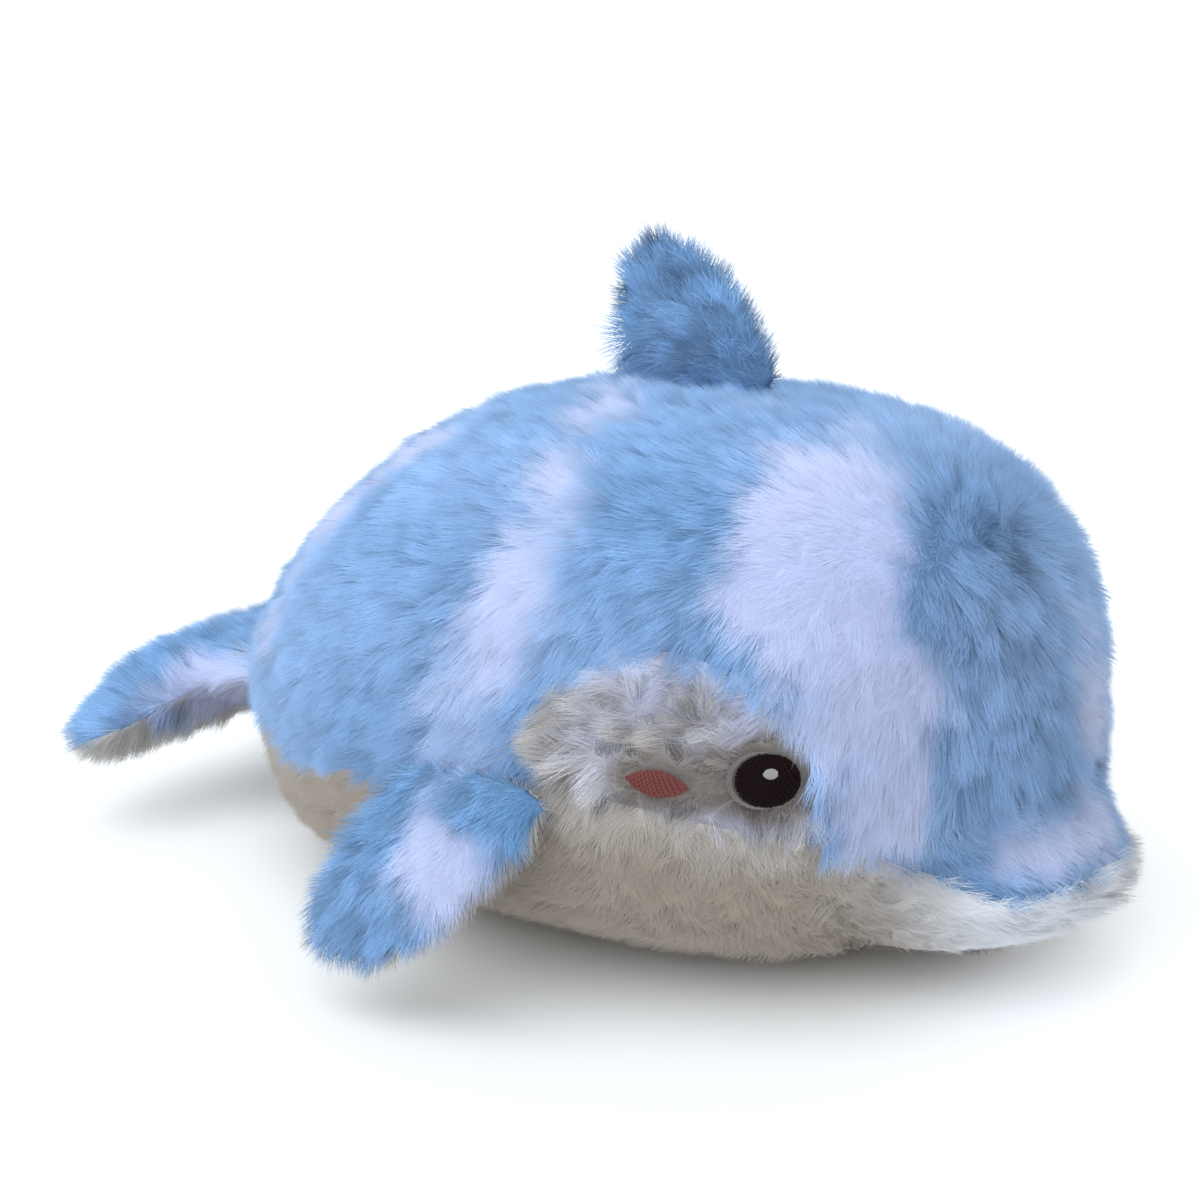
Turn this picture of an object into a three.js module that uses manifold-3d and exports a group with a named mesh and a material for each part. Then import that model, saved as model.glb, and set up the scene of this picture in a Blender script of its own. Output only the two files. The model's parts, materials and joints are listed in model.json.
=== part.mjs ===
// Plush dolphin lying on its belly: sewn plush panels over a stuffed core, with a stuffed
// back fin, two flippers and a tail fluke that flex on the seams that hold them.
// Millimetres. +X is the way the dolphin faces, +Y is its left, +Z is up, the ground is z = 0.

import * as THREE from 'three';
import { mergeVertices } from 'three/addons/utils/BufferGeometryUtils.js';
import Module from 'manifold-3d';

const wasm = await Module();
wasm.setup();

// Body: a loft whose widest line, the equator, lies a little below half height
const BODY_LENGTH = 352;
const BODY_WIDTH = 274;
const BODY_HEIGHT = 205;
const EQUATOR_SHARE = 0.463;
const BELLY_PRESS = 4;
const EQUATOR_HEIGHT = EQUATOR_SHARE * BODY_HEIGHT;
const BACK_RISE = BODY_HEIGHT - EQUATOR_HEIGHT;
const BELLY_DROP = EQUATOR_HEIGHT + BELLY_PRESS;
const NOSE_DIP = 5;
const RUMP_DIP = 26;

// Places on the body are shares of its half length, ahead of its middle, and of its height
const HALF_LENGTH = BODY_LENGTH / 2;
const station = (share) => share * HALF_LENGTH;
const level = (share) => share * BODY_HEIGHT;

// Beak and lower jaw: two tilted egg forms that grow out of the head
const BEAK_CENTRE = { alongShare: 0.835, upShare: 0.322 };
const BEAK_HALF = { length: 35, width: 54, height: 20 };
const BEAK_TILT = -4;
const JAW_CENTRE = { alongShare: 0.727, upShare: 0.205 };
const JAW_HALF = { length: 66, width: 66, height: 33 };
const JAW_TILT = 6;

// Seam between the dyed back and the pale belly, which is the mouth line at the front
const SEAM_LINE = [
  [-1.477, 0.361], [-0.733, 0.380], [-0.426, 0.346], [-0.170, 0.380], [0.102, 0.424],
  [0.295, 0.424], [0.568, 0.385], [0.750, 0.341], [0.841, 0.283], [0.926, 0.234],
  [1.034, 0.234], [1.136, 0.259], [1.477, 0.293],
];

// Eye patch: a pale panel let into each side of the head, with a blunt front edge
const PATCH_LINE = [
  [0.267, 0.244], [0.244, 0.429], [0.193, 0.507], [0.244, 0.585], [0.335, 0.639],
  [0.455, 0.659], [0.585, 0.620], [0.676, 0.541], [0.710, 0.449], [0.710, 0.244],
];

// Stitched eyes and cheeks
const EYE = { alongShare: 0.642, upShare: 0.473, halfLength: 10.5, halfHeight: 9, tilt: 4 };
const EYE_RIM_SHIFT = 2.4;
const GLINT = { ahead: 1.6, above: 2.6, half: 2.4 };
const CHEEK = { alongShare: 0.460, upShare: 0.459, halfLength: 11, halfHeight: 4.8, tilt: -6 };
const STITCH_RAISE = 0.8;
const STITCH_DEPTH = 1.5;
const GLINT_DEPTH = 0.4;

// Back fin, flippers and tail: root is the pinched thickness at the seam, full that of the swell
const FIN_PLACE = { alongShare: 0.119 };
const FIN = { chord: 64, span: 51, sweep: 20, root: 18, full: 25, tipPower: 2, standoff: 4 };
const FLIPPER_PLACE = { alongShare: 0.108, upShare: 0.410 };
const FLIPPER = { chord: 64, span: 66, sweep: 37, root: 16, full: 23, tipPower: 4, standoff: 6 };
const FLIPPER_DROOP = 66;
const TAIL = { chord: 96, span: 54, sweep: 0, root: 31, full: 36, tipPower: 4, standoff: 7 };
const TAIL_DROOP = 12;
const FLUKE = { halfSpan: 101, chord: 48, flare: 24, reach: 71, notch: 7, sag: 16, thickness: 40 };

// Fabric and fits
const BODY_PLUSH = 6;
const LIMB_PLUSH = 4;
const FIT_GAP = 0.3;

// Grid counts: the outer faces are fine, the inner faces and the stuffing coarse
const FINE = {
  bodyRings: 20, bodySides: 28, eggRings: 8, eggSides: 18, limbRings: 5, limbSides: 12, rollSteps: 8,
};
const COARSE = {
  bodyRings: 10, bodySides: 14, eggRings: 6, eggSides: 10, limbRings: 3, limbSides: 8, rollSteps: 6,
};
const SEAM_STEPS = 34;
const PATCH_STEPS = 22;
const SPLIT_STEPS = 10;
const STITCH_SIDES = 14;

// The step over which the body's slope is measured, and how far past the fluke a limb's split runs
const SLOPE_STEP = 1;
const SPLIT_REACH = 2;

// Fullness of the curves: 2 is an ellipse, more is squarer, and a root of 1 lets a slope run straight
const SECTION_POWER = 2.3;
const PLAN_POWER = { front: 2.1, rear: 2 };
const BACK_POWER = { front: 4, rear: 2.6 };
const BACK_ROOT = { front: 2, rear: 1 };
const BELLY_POWER = 3;
const FLUKE_TIP_POWER = 4;
const FLUKE_FLARE_POWER = 3;
const FLUKE_NOTCH_POWER = 6;

// Cutting blocks reach well past the part
const REACH = 4 * BODY_LENGTH;

const DYED_BLUE = 0x9fc3e3;
const CREAM = 0xece6d8;
const FILL_WHITE = 0xf4f3ef;
const EYE_BROWN = 0x2b1614;
const THREAD_WHITE = 0xf8f6f2;
const RIM_GREY = 0xc9c6cf;
const CHEEK_CORAL = 0xd0736c;
const PLUSH_FINISH = { roughness: 0.95, metalness: 0 };
const THREAD_FINISH = { roughness: 0.55, metalness: 0 };

const SIDES = { right: -1, left: 1 };
const radians = THREE.MathUtils.degToRad;

// Solids

function toSolid(geometry) {
  const bare = geometry.clone();
  bare.deleteAttribute('normal');
  bare.deleteAttribute('uv');
  const merged = mergeVertices(bare);
  const corners = Array.from(merged.index.array);
  const triangles = [];
  for (let i = 0; i < corners.length; i += 3) {
    const [a, b, c] = corners.slice(i, i + 3);
    if (a !== b && b !== c && c !== a) {
      triangles.push(a, b, c);
    }
  }
  return new wasm.Manifold(new wasm.Mesh({
    numProp: 3,
    vertProperties: Float32Array.from(merged.attributes.position.array),
    triVerts: Uint32Array.from(triangles),
  }));
}

function toMesh(name, solid, color, finish) {
  const { vertProperties, triVerts } = solid.getMesh();
  const geometry = new THREE.BufferGeometry();
  geometry.setAttribute('position', new THREE.BufferAttribute(vertProperties, 3));
  geometry.setIndex(new THREE.BufferAttribute(triVerts, 1));
  geometry.computeVertexNormals();
  const mesh = new THREE.Mesh(geometry, new THREE.MeshStandardMaterial({ color, ...finish }));
  mesh.name = name;
  return mesh;
}

// Half space on one side of the plane axis = level, as a large block
function halfSpace(axis, side, level) {
  const block = new THREE.BoxGeometry(REACH, REACH, REACH);
  const centre = new THREE.Vector3();
  centre[axis] = level + side * REACH / 2;
  block.translate(centre.x, centre.y, centre.z);
  return toSolid(block);
}

// Closed skin over rings of points that run along an axis, with a point at each end
function loft(first, rings, last) {
  const sides = rings[0].length;
  const points = [first, ...rings.flat(), last];
  const at = (ring, side) => 1 + ring * sides + side % sides;
  const faces = [];
  for (let side = 0; side < sides; side += 1) {
    faces.push(0, at(0, side + 1), at(0, side));
    for (let ring = 0; ring < rings.length - 1; ring += 1) {
      faces.push(at(ring, side), at(ring, side + 1), at(ring + 1, side));
      faces.push(at(ring, side + 1), at(ring + 1, side + 1), at(ring + 1, side));
    }
    faces.push(points.length - 1, at(rings.length - 1, side), at(rings.length - 1, side + 1));
  }
  const geometry = new THREE.BufferGeometry().setFromPoints(points);
  geometry.setIndex(faces);
  return geometry;
}

// Share of the full size left at a share of the way out to the end
function swell(share, power, root) {
  return Math.max(0, 1 - Math.abs(share) ** power) ** (1 / root);
}

// Arch from 0 up to 1 and back over a share from 0 to 1
function arch(share) {
  return 1 - (2 * share - 1) ** 2;
}

// Point of a rounded section on its unit circle
function rounded(angle) {
  const bend = (value) => Math.sign(value) * Math.abs(value) ** (2 / SECTION_POWER);
  return [bend(Math.cos(angle)), bend(Math.sin(angle))];
}

// Shares from -1 to 1 that crowd towards both ends, without the ends
function crowdedShares(count) {
  return Array.from({ length: count }, (_, i) => -Math.cos(Math.PI * (i + 1) / (count + 1)));
}

function ringAngles(sides) {
  return Array.from({ length: sides }, (_, i) => 2 * Math.PI * i / sides);
}

// Body forms

function bodySection(share, inset) {
  const end = share > 0 ? 'front' : 'rear';
  const dip = share > 0 ? NOSE_DIP : RUMP_DIP;
  return {
    width: (BODY_WIDTH / 2 - inset) * swell(share, PLAN_POWER[end], PLAN_POWER[end]),
    rise: (BACK_RISE - inset) * swell(share, BACK_POWER[end], BACK_ROOT[end]),
    drop: (BELLY_DROP - inset) * swell(share, BELLY_POWER, 2),
    equator: EQUATOR_HEIGHT - dip * share * share,
  };
}

function bodyLoft(inset, grid) {
  const half = HALF_LENGTH - inset;
  const rings = crowdedShares(grid.bodyRings).map((share) => {
    const section = bodySection(share, inset);
    return ringAngles(grid.bodySides).map((angle) => {
      const [across, up] = rounded(angle);
      const height = up > 0 ? section.rise : section.drop;
      return new THREE.Vector3(share * half, section.width * across, section.equator + height * up);
    });
  });
  const rump = new THREE.Vector3(-half, 0, bodySection(-1, inset).equator);
  const nose = new THREE.Vector3(half, 0, bodySection(1, inset).equator);
  return toSolid(loft(rump, rings, nose));
}

function eggForm(centre, half, tilt, inset, grid) {
  const egg = new THREE.SphereGeometry(1, grid.eggSides, grid.eggRings);
  egg.scale(half.length - inset, half.width - inset, half.height - inset);
  egg.rotateY(-radians(tilt));
  egg.translate(station(centre.alongShare), 0, level(centre.upShare));
  return toSolid(egg);
}

// Body, beak and jaw in one form, drawn in from the outside by an inset and pressed flat below
function bodyForm(inset, grid) {
  return bodyLoft(inset, grid)
    .add(eggForm(BEAK_CENTRE, BEAK_HALF, BEAK_TILT, inset, grid))
    .add(eggForm(JAW_CENTRE, JAW_HALF, JAW_TILT, inset, grid))
    .intersect(halfSpace('z', 1, inset));
}

// Point on the body's side at a station and height, with the level direction that faces out of it
function sidePoint(x, z, side) {
  const sideAt = (along) => {
    const section = bodySection(along / HALF_LENGTH, 0);
    const height = z > section.equator ? section.rise : section.drop;
    return section.width * swell((z - section.equator) / height, SECTION_POWER, SECTION_POWER);
  };
  const slope = (sideAt(x + SLOPE_STEP) - sideAt(x - SLOPE_STEP)) / (2 * SLOPE_STEP);
  return {
    point: new THREE.Vector3(x, side * sideAt(x), z),
    out: new THREE.Vector3(-slope, side, 0).normalize(),
  };
}

function backHeight(x) {
  const section = bodySection(x / HALF_LENGTH, 0);
  return section.equator + section.rise;
}

// Cutting forms

function splinePoints(line, steps) {
  const corners = line.map(([along, up]) => new THREE.Vector2(station(along), level(up)));
  return new THREE.SplineCurve(corners).getPoints(steps);
}

// Upright outline in X and Z, made solid from one level of Y to another
function crossExtrusion(outline, fromY, toY) {
  const extent = { depth: toY - fromY, bevelEnabled: false };
  const geometry = new THREE.ExtrudeGeometry(new THREE.Shape(outline), extent);
  geometry.rotateX(Math.PI / 2);
  geometry.translate(0, toY, 0);
  return toSolid(geometry);
}

// Everything below the seam, raised or lowered a little
function belowSeam(lift) {
  const seam = splinePoints(SEAM_LINE, SEAM_STEPS);
  const line = seam.map((point) => new THREE.Vector2(point.x, point.y + lift));
  const corners = [new THREE.Vector2(line.at(-1).x, -REACH), new THREE.Vector2(line[0].x, -REACH)];
  return crossExtrusion([...line, ...corners], -REACH, REACH);
}

// Outline of an eye patch, grown or shrunk along its own normals, made solid on one side of the body
function patchCutter(side, grow) {
  const line = splinePoints(PATCH_LINE, PATCH_STEPS);
  const grown = line.map((point, i) => {
    const before = line[Math.max(i - 1, 0)];
    const after = line[Math.min(i + 1, line.length - 1)];
    const along = after.clone().sub(before).normalize();
    return new THREE.Vector2(point.x - along.y * grow, point.y + along.x * grow);
  });
  return side < 0 ? crossExtrusion(grown, -REACH, 0) : crossExtrusion(grown, 0, REACH);
}

// Oval rod that faces out of the body's side where a stitched piece lies
function stitchRod(stitch, side, grow, ahead = 0, above = 0) {
  const { point, out } = sidePoint(station(stitch.alongShare), level(stitch.upShare), side);
  const up = new THREE.Vector3(0, 0, 1);
  const forward = new THREE.Vector3().crossVectors(up, out).multiplyScalar(-side);
  const rod = new THREE.CylinderGeometry(1, 1, 2 * BODY_PLUSH, STITCH_SIDES);
  rod.rotateX(Math.PI / 2);
  rod.scale(stitch.halfLength + grow, stitch.halfHeight + grow, 1);
  rod.rotateZ(-side * radians(stitch.tilt));
  const right = new THREE.Vector3().crossVectors(up, out);
  rod.applyMatrix4(new THREE.Matrix4().makeBasis(right, up, out));
  const centre = point.clone().addScaledVector(forward, ahead).addScaledVector(up, above);
  rod.translate(centre.x, centre.y, centre.z);
  return toSolid(rod);
}

// Limb forms, in a limb's own frame: the seam that it flexes on is X, it reaches out along +Y

function limbBlade(limb, inset, grid) {
  const span = limb.span - inset;
  const rings = Array.from({ length: grid.limbRings }, (_, i) => {
    const share = Math.sin(Math.PI / 2 * i / grid.limbRings);
    const taper = swell(share, limb.tipPower, 2);
    const belly = limb.root + (limb.full - limb.root) * arch(share);
    const halfChord = (limb.chord / 2 - inset) * taper;
    const halfThick = (belly / 2 - inset) * taper;
    return ringAngles(grid.limbSides).map((angle) => {
      const [thick, along] = rounded(angle);
      return new THREE.Vector3(along * halfChord - limb.sweep * share, share * span, thick * halfThick);
    });
  });
  const root = new THREE.Vector3(0, 0, 0);
  const tip = new THREE.Vector3(-limb.sweep, span, 0);
  return toSolid(loft(root, rings, tip));
}

// Roll of fabric along the seam, the root's section turned about it, so that it flexes in place
function limbRoll(limb, inset, grid) {
  const reach = limb.chord / 2 - inset;
  const profile = Array.from({ length: grid.rollSteps + 1 }, (_, i) => {
    const [along, thick] = rounded(Math.PI * i / grid.rollSteps);
    return new THREE.Vector2(thick * (limb.root / 2 - inset), -along * reach);
  });
  profile[0].x = 0;
  profile.at(-1).x = 0;
  const roll = new THREE.LatheGeometry(profile, grid.limbSides);
  roll.rotateZ(-Math.PI / 2);
  return roll;
}

function limbForm(limb, inset, grid) {
  return limbBlade(limb, inset, grid).add(toSolid(limbRoll(limb, inset, grid)));
}

// Section of the fluke at a share of its half span: it flares forward into the stock,
// with a shallow notch at its rear
function flukeSection(share, inset) {
  const inward = 1 - Math.abs(share);
  const chord = FLUKE.chord + FLUKE.flare * inward ** FLUKE_FLARE_POWER;
  const rear = FLUKE.reach - FLUKE.notch * inward ** FLUKE_NOTCH_POWER;
  const taper = swell(share, FLUKE_TIP_POWER, 2);
  return {
    middle: rear - chord / 2,
    halfChord: (chord / 2 - inset) * taper,
    halfThick: (FLUKE.thickness / 2 - inset) * taper,
    level: -FLUKE.sag * share * share,
  };
}

// Two rounded lobes across the end of the tail, as one form that sags towards its tips
function flukeLobes(inset, grid) {
  const reach = FLUKE.halfSpan - inset;
  const rings = crowdedShares(2 * grid.limbRings + 1).map((share) => {
    const section = flukeSection(share, inset);
    return ringAngles(grid.limbSides).map((angle) => {
      const [along, thick] = rounded(angle);
      const y = section.middle + along * section.halfChord;
      return new THREE.Vector3(share * reach, y, section.level + thick * section.halfThick);
    });
  });
  const { middle, level } = flukeSection(1, inset);
  const tipAt = (share) => new THREE.Vector3(share * reach, middle, level);
  return toSolid(loft(tipAt(-1), rings, tipAt(1)));
}

function tailForm(inset, grid) {
  return limbForm(TAIL, inset, grid).add(flukeLobes(inset, grid));
}

// Everything below a limb's middle, which falls away on both sides by the sag over the half span
function belowMiddle(sag, lift) {
  const line = Array.from({ length: SPLIT_STEPS + 1 }, (_, i) => {
    const share = SPLIT_REACH * (2 * i / SPLIT_STEPS - 1);
    return new THREE.Vector2(share * FLUKE.halfSpan, lift - sag * share * share);
  });
  const corners = [new THREE.Vector2(line.at(-1).x, -REACH), new THREE.Vector2(line[0].x, -REACH)];
  return crossExtrusion([...line, ...corners], -REACH, REACH);
}

// Two panels that meet on the limb's middle, over a stuffing of their inner shape
function limbParts(form, sag = 0) {
  const skin = form(0, FINE).subtract(form(LIMB_PLUSH, COARSE));
  return {
    upper: skin.subtract(belowMiddle(sag, FIT_GAP / 2)),
    lower: skin.intersect(belowMiddle(sag, -FIT_GAP / 2)),
    stuffing: form(LIMB_PLUSH + FIT_GAP, COARSE),
  };
}

// Hollow that a limb's roll turns in, placed on the body, with its facets outside the roll's corners
function rootSocket(limb, place) {
  const root = (limb.root + 2 * FIT_GAP) / Math.cos(Math.PI / FINE.limbSides);
  const roll = limbRoll({ ...limb, chord: limb.chord + 2 * FIT_GAP, root }, 0, FINE);
  roll.applyMatrix4(place.matrixWorld);
  return toSolid(roll);
}

// Placing

function placeFin() {
  const place = new THREE.Group();
  const x = station(FIN_PLACE.alongShare);
  place.position.set(x, 0, backHeight(x) + FIN.standoff);
  place.rotation.x = Math.PI / 2;
  return place;
}

function placeFlipper(side) {
  const { point } = sidePoint(station(FLIPPER_PLACE.alongShare), level(FLIPPER_PLACE.upShare), side);
  const place = new THREE.Group();
  place.position.set(point.x, point.y + side * FLIPPER.standoff, point.z);
  place.rotation.x = side > 0 ? -radians(FLIPPER_DROOP) : Math.PI + radians(FLIPPER_DROOP);
  return place;
}

function placeTail() {
  const place = new THREE.Group();
  place.position.set(-HALF_LENGTH - TAIL.standoff, 0, bodySection(-1, 0).equator);
  place.rotation.set(0, -radians(TAIL_DROOP), Math.PI / 2, 'YXZ');
  return place;
}

// Pieces

const plush = (name, solid, color) => toMesh(name, solid, color, PLUSH_FINISH);
const thread = (name, solid, color) => toMesh(name, solid, color, THREAD_FINISH);

function addBody(dolphin, sockets) {
  const cutSockets = (solid) => sockets.reduce((left, socket) => left.subtract(socket), solid);
  const outer = bodyForm(0, FINE);
  const skin = cutSockets(outer.subtract(bodyForm(BODY_PLUSH, COARSE)));
  const stuffing = cutSockets(bodyForm(BODY_PLUSH + FIT_GAP, COARSE));
  const dyed = skin.subtract(belowSeam(FIT_GAP / 2));
  const belly = skin.intersect(belowSeam(-FIT_GAP / 2));
  dolphin.add(plush('body_stuffing', stuffing, FILL_WHITE));
  dolphin.add(plush('belly_panel', belly, CREAM));
  const stitchTop = bodyLoft(-STITCH_RAISE, FINE);
  const stitchBase = bodyLoft(STITCH_DEPTH, FINE);
  const recessBase = bodyLoft(STITCH_DEPTH + FIT_GAP, FINE);
  const stitchLayer = stitchTop.subtract(stitchBase);
  const glintLayer = stitchTop.subtract(bodyLoft(GLINT_DEPTH, FINE));
  const glintBase = bodyLoft(GLINT_DEPTH + FIT_GAP, FINE);
  for (const [name, side] of Object.entries(SIDES)) {
    const half = dyed.intersect(halfSpace('y', side, side * FIT_GAP / 2));
    const glintSize = { ...EYE, halfLength: GLINT.half, halfHeight: GLINT.half };
    const eyeRod = stitchRod(EYE, side, 0);
    const eyeHole = stitchRod(EYE, side, FIT_GAP);
    const rimRod = stitchRod(EYE, side, 0, -EYE_RIM_SHIFT);
    const rimHole = stitchRod(EYE, side, FIT_GAP, -EYE_RIM_SHIFT);
    const cheekHole = stitchRod(CHEEK, side, FIT_GAP);
    const glintRod = stitchRod(glintSize, side, 0, GLINT.ahead, GLINT.above);
    const glintHole = stitchRod(glintSize, side, FIT_GAP, GLINT.ahead, GLINT.above);
    const patch = dyed.intersect(patchCutter(side, -FIT_GAP / 2));
    const recesses = eyeHole.add(rimHole).add(cheekHole).subtract(recessBase);
    const back = half.subtract(patchCutter(side, FIT_GAP / 2));
    const eye = stitchLayer.intersect(eyeRod).subtract(glintHole.subtract(glintBase));
    const rim = stitchLayer.intersect(rimRod.subtract(eyeHole));
    const cheek = stitchLayer.intersect(stitchRod(CHEEK, side, 0));
    dolphin.add(plush(`back_panel_${name}`, back, DYED_BLUE));
    dolphin.add(plush(`eye_patch_${name}`, patch.subtract(recesses), CREAM));
    dolphin.add(thread(`eye_${name}`, eye, EYE_BROWN));
    dolphin.add(thread(`eye_rim_${name}`, rim, RIM_GREY));
    dolphin.add(thread(`eye_glint_${name}`, glintLayer.intersect(glintRod), THREAD_WHITE));
    dolphin.add(thread(`cheek_${name}`, cheek, CHEEK_CORAL));
  }
}

function addFin(dolphin, place) {
  const { upper, lower, stuffing } = limbParts((inset, grid) => limbForm(FIN, inset, grid));
  place.add(plush('dorsal_fin_right_panel', upper, DYED_BLUE));
  place.add(plush('dorsal_fin_left_panel', lower, DYED_BLUE));
  place.add(plush('dorsal_fin_stuffing', stuffing, FILL_WHITE));
  dolphin.add(place);
}

function addFlipper(dolphin, place, name, side) {
  const { upper, lower, stuffing } = limbParts((inset, grid) => limbForm(FLIPPER, inset, grid));
  place.add(plush(`flipper_${name}_top_panel`, side > 0 ? upper : lower, DYED_BLUE));
  place.add(plush(`flipper_${name}_under_panel`, side > 0 ? lower : upper, CREAM));
  place.add(plush(`flipper_${name}_stuffing`, stuffing, FILL_WHITE));
  dolphin.add(place);
}

function addTail(dolphin, place) {
  const { upper, lower, stuffing } = limbParts(tailForm, FLUKE.sag);
  place.add(plush('tail_top_panel', upper, DYED_BLUE));
  place.add(plush('tail_under_panel', lower, CREAM));
  place.add(plush('tail_stuffing', stuffing, FILL_WHITE));
  dolphin.add(place);
}

function buildDolphin() {
  const dolphin = new THREE.Group();
  const fin = placeFin();
  const tail = placeTail();
  const flippers = Object.entries(SIDES).map(([name, side]) => {
    return { name, side, place: placeFlipper(side) };
  });
  for (const place of [fin, tail, ...flippers.map((flipper) => flipper.place)]) {
    place.updateMatrixWorld();
  }
  const sockets = [rootSocket(FIN, fin), rootSocket(TAIL, tail)];
  for (const { place } of flippers) {
    sockets.push(rootSocket(FLIPPER, place));
  }
  addBody(dolphin, sockets);
  addFin(dolphin, fin);
  for (const { name, side, place } of flippers) {
    addFlipper(dolphin, place, name, side);
  }
  addTail(dolphin, tail);
  return dolphin;
}

// The origin is the middle of the whole dolphin, on the ground
const dolphin = buildDolphin();
const box = new THREE.Box3().setFromObject(dolphin, true);
dolphin.position.x = -(box.min.x + box.max.x) / 2;

export default dolphin;
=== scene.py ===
"""Plush dolphin, dressed: stuffed skins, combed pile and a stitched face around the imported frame.

Everything is in metres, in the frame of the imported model: +X is the way the dolphin faces,
+Y is its left, +Z is up and the ground is z = 0.
"""

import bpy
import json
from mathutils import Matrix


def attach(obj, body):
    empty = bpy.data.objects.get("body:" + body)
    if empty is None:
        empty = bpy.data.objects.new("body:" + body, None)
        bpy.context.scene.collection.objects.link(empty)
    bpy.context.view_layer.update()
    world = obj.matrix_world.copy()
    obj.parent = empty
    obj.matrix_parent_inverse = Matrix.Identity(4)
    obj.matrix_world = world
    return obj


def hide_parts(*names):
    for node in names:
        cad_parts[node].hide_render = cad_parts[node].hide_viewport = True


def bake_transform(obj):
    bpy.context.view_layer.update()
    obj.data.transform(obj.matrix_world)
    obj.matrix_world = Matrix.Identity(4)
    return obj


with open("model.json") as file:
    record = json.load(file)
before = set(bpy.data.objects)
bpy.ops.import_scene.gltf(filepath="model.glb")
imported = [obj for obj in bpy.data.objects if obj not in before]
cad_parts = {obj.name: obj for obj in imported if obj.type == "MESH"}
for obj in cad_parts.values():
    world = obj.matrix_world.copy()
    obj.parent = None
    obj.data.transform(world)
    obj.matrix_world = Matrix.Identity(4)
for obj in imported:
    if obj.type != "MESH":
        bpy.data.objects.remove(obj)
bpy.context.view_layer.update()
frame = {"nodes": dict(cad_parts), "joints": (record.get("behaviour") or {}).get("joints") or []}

import json
import math

import bpy
import numpy as np
from bpy.props import FloatProperty, FloatVectorProperty, IntProperty, PointerProperty
from mathutils import Vector
from mathutils.kdtree import KDTree

bl_info = {
    "name": "Plush Dolphin",
    "version": (1, 0, 0),
    "blender": (4, 5, 0),
    "location": "View3D > Sidebar > Dolphin",
    "description": "Dresses the packed dolphin in stuffed skins, combed pile and stitching",
    "category": "Object",
}

# Body, as in the solids: x runs ahead of the body's middle, which lies at BODY_MIDDLE
BODY_MIDDLE = 0.02872
HALF_LENGTH = 0.176
HALF_WIDTH = 0.137
EQUATOR = 0.0949
BACK_RISE = 0.1101
BELLY_DROP = 0.0989
NOSE_DIP = 0.005
RUMP_DIP = 0.026
SECTION_POWER = 2.3
PLAN_POWER = 2.1
BACK_POWER = 4.0
BELLY_POWER = 3.0

# Seam between dyed back and pale belly, and the outline of an eye patch, as (x, z)
SEAM_LINE = [
    (-0.260, 0.074), (-0.129, 0.078), (-0.075, 0.071), (-0.030, 0.078), (0.018, 0.087),
    (0.052, 0.087), (0.100, 0.079), (0.132, 0.070), (0.148, 0.058), (0.163, 0.048),
    (0.182, 0.048), (0.200, 0.053), (0.260, 0.060),
]
PATCH_LINE = [
    (0.047, 0.050), (0.043, 0.088), (0.034, 0.104), (0.043, 0.120), (0.059, 0.131),
    (0.080, 0.135), (0.103, 0.127), (0.119, 0.111), (0.125, 0.092), (0.125, 0.050),
]

# Stitched shapes, as in the solids: (x, z), half length, half height, tilt in degrees
EYE = {"x": 0.113, "z": 0.097, "length": 0.0105, "height": 0.009, "tilt": 4.0}
CHEEK = {"x": 0.081, "z": 0.0941, "length": 0.011, "height": 0.0048, "tilt": -6.0}
RIM_SHIFT = 0.0024
GLINT = {"ahead": 0.0016, "above": 0.0026, "half": 0.0024}
STITCH_RAISE = 0.0008
# The pile is pressed short along this line, from behind the cheek to the patch's front edge
PRESSED_FROM = (0.074, 0.094)
PRESSED_TO = (0.126, 0.097)

SIDES = {"right": -1, "left": 1}
HINGES = {joint["child"]: Vector(joint["pos_m"]) for joint in frame["joints"]}
FLIPPER_DROOP = math.radians(66)
TAIL_DROOP = math.radians(12)
FLUKE_HALF_SPAN = 0.101
FLUKE_SAG = 0.016
# How far the pile of the tail's upper panel hangs over its seam
TAIL_OVERHANG = 0.010
CUT_REACH = 0.6
FLOOR_SIZE = 120.0
SENSOR_WIDTH = 36.0
RIM_STEPS = 26
# Numbers that scramble a place of the noise's lattice
HASH_STEPS = (73856093, 19349663, 83492791)
HASH_SEED_STEP = 668265263
HASH_ROUNDS = ((15, 0x2C1B3C6D), (12, 0x297A2D39))
HASH_MASK = 0xFFFFFFFF

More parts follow.
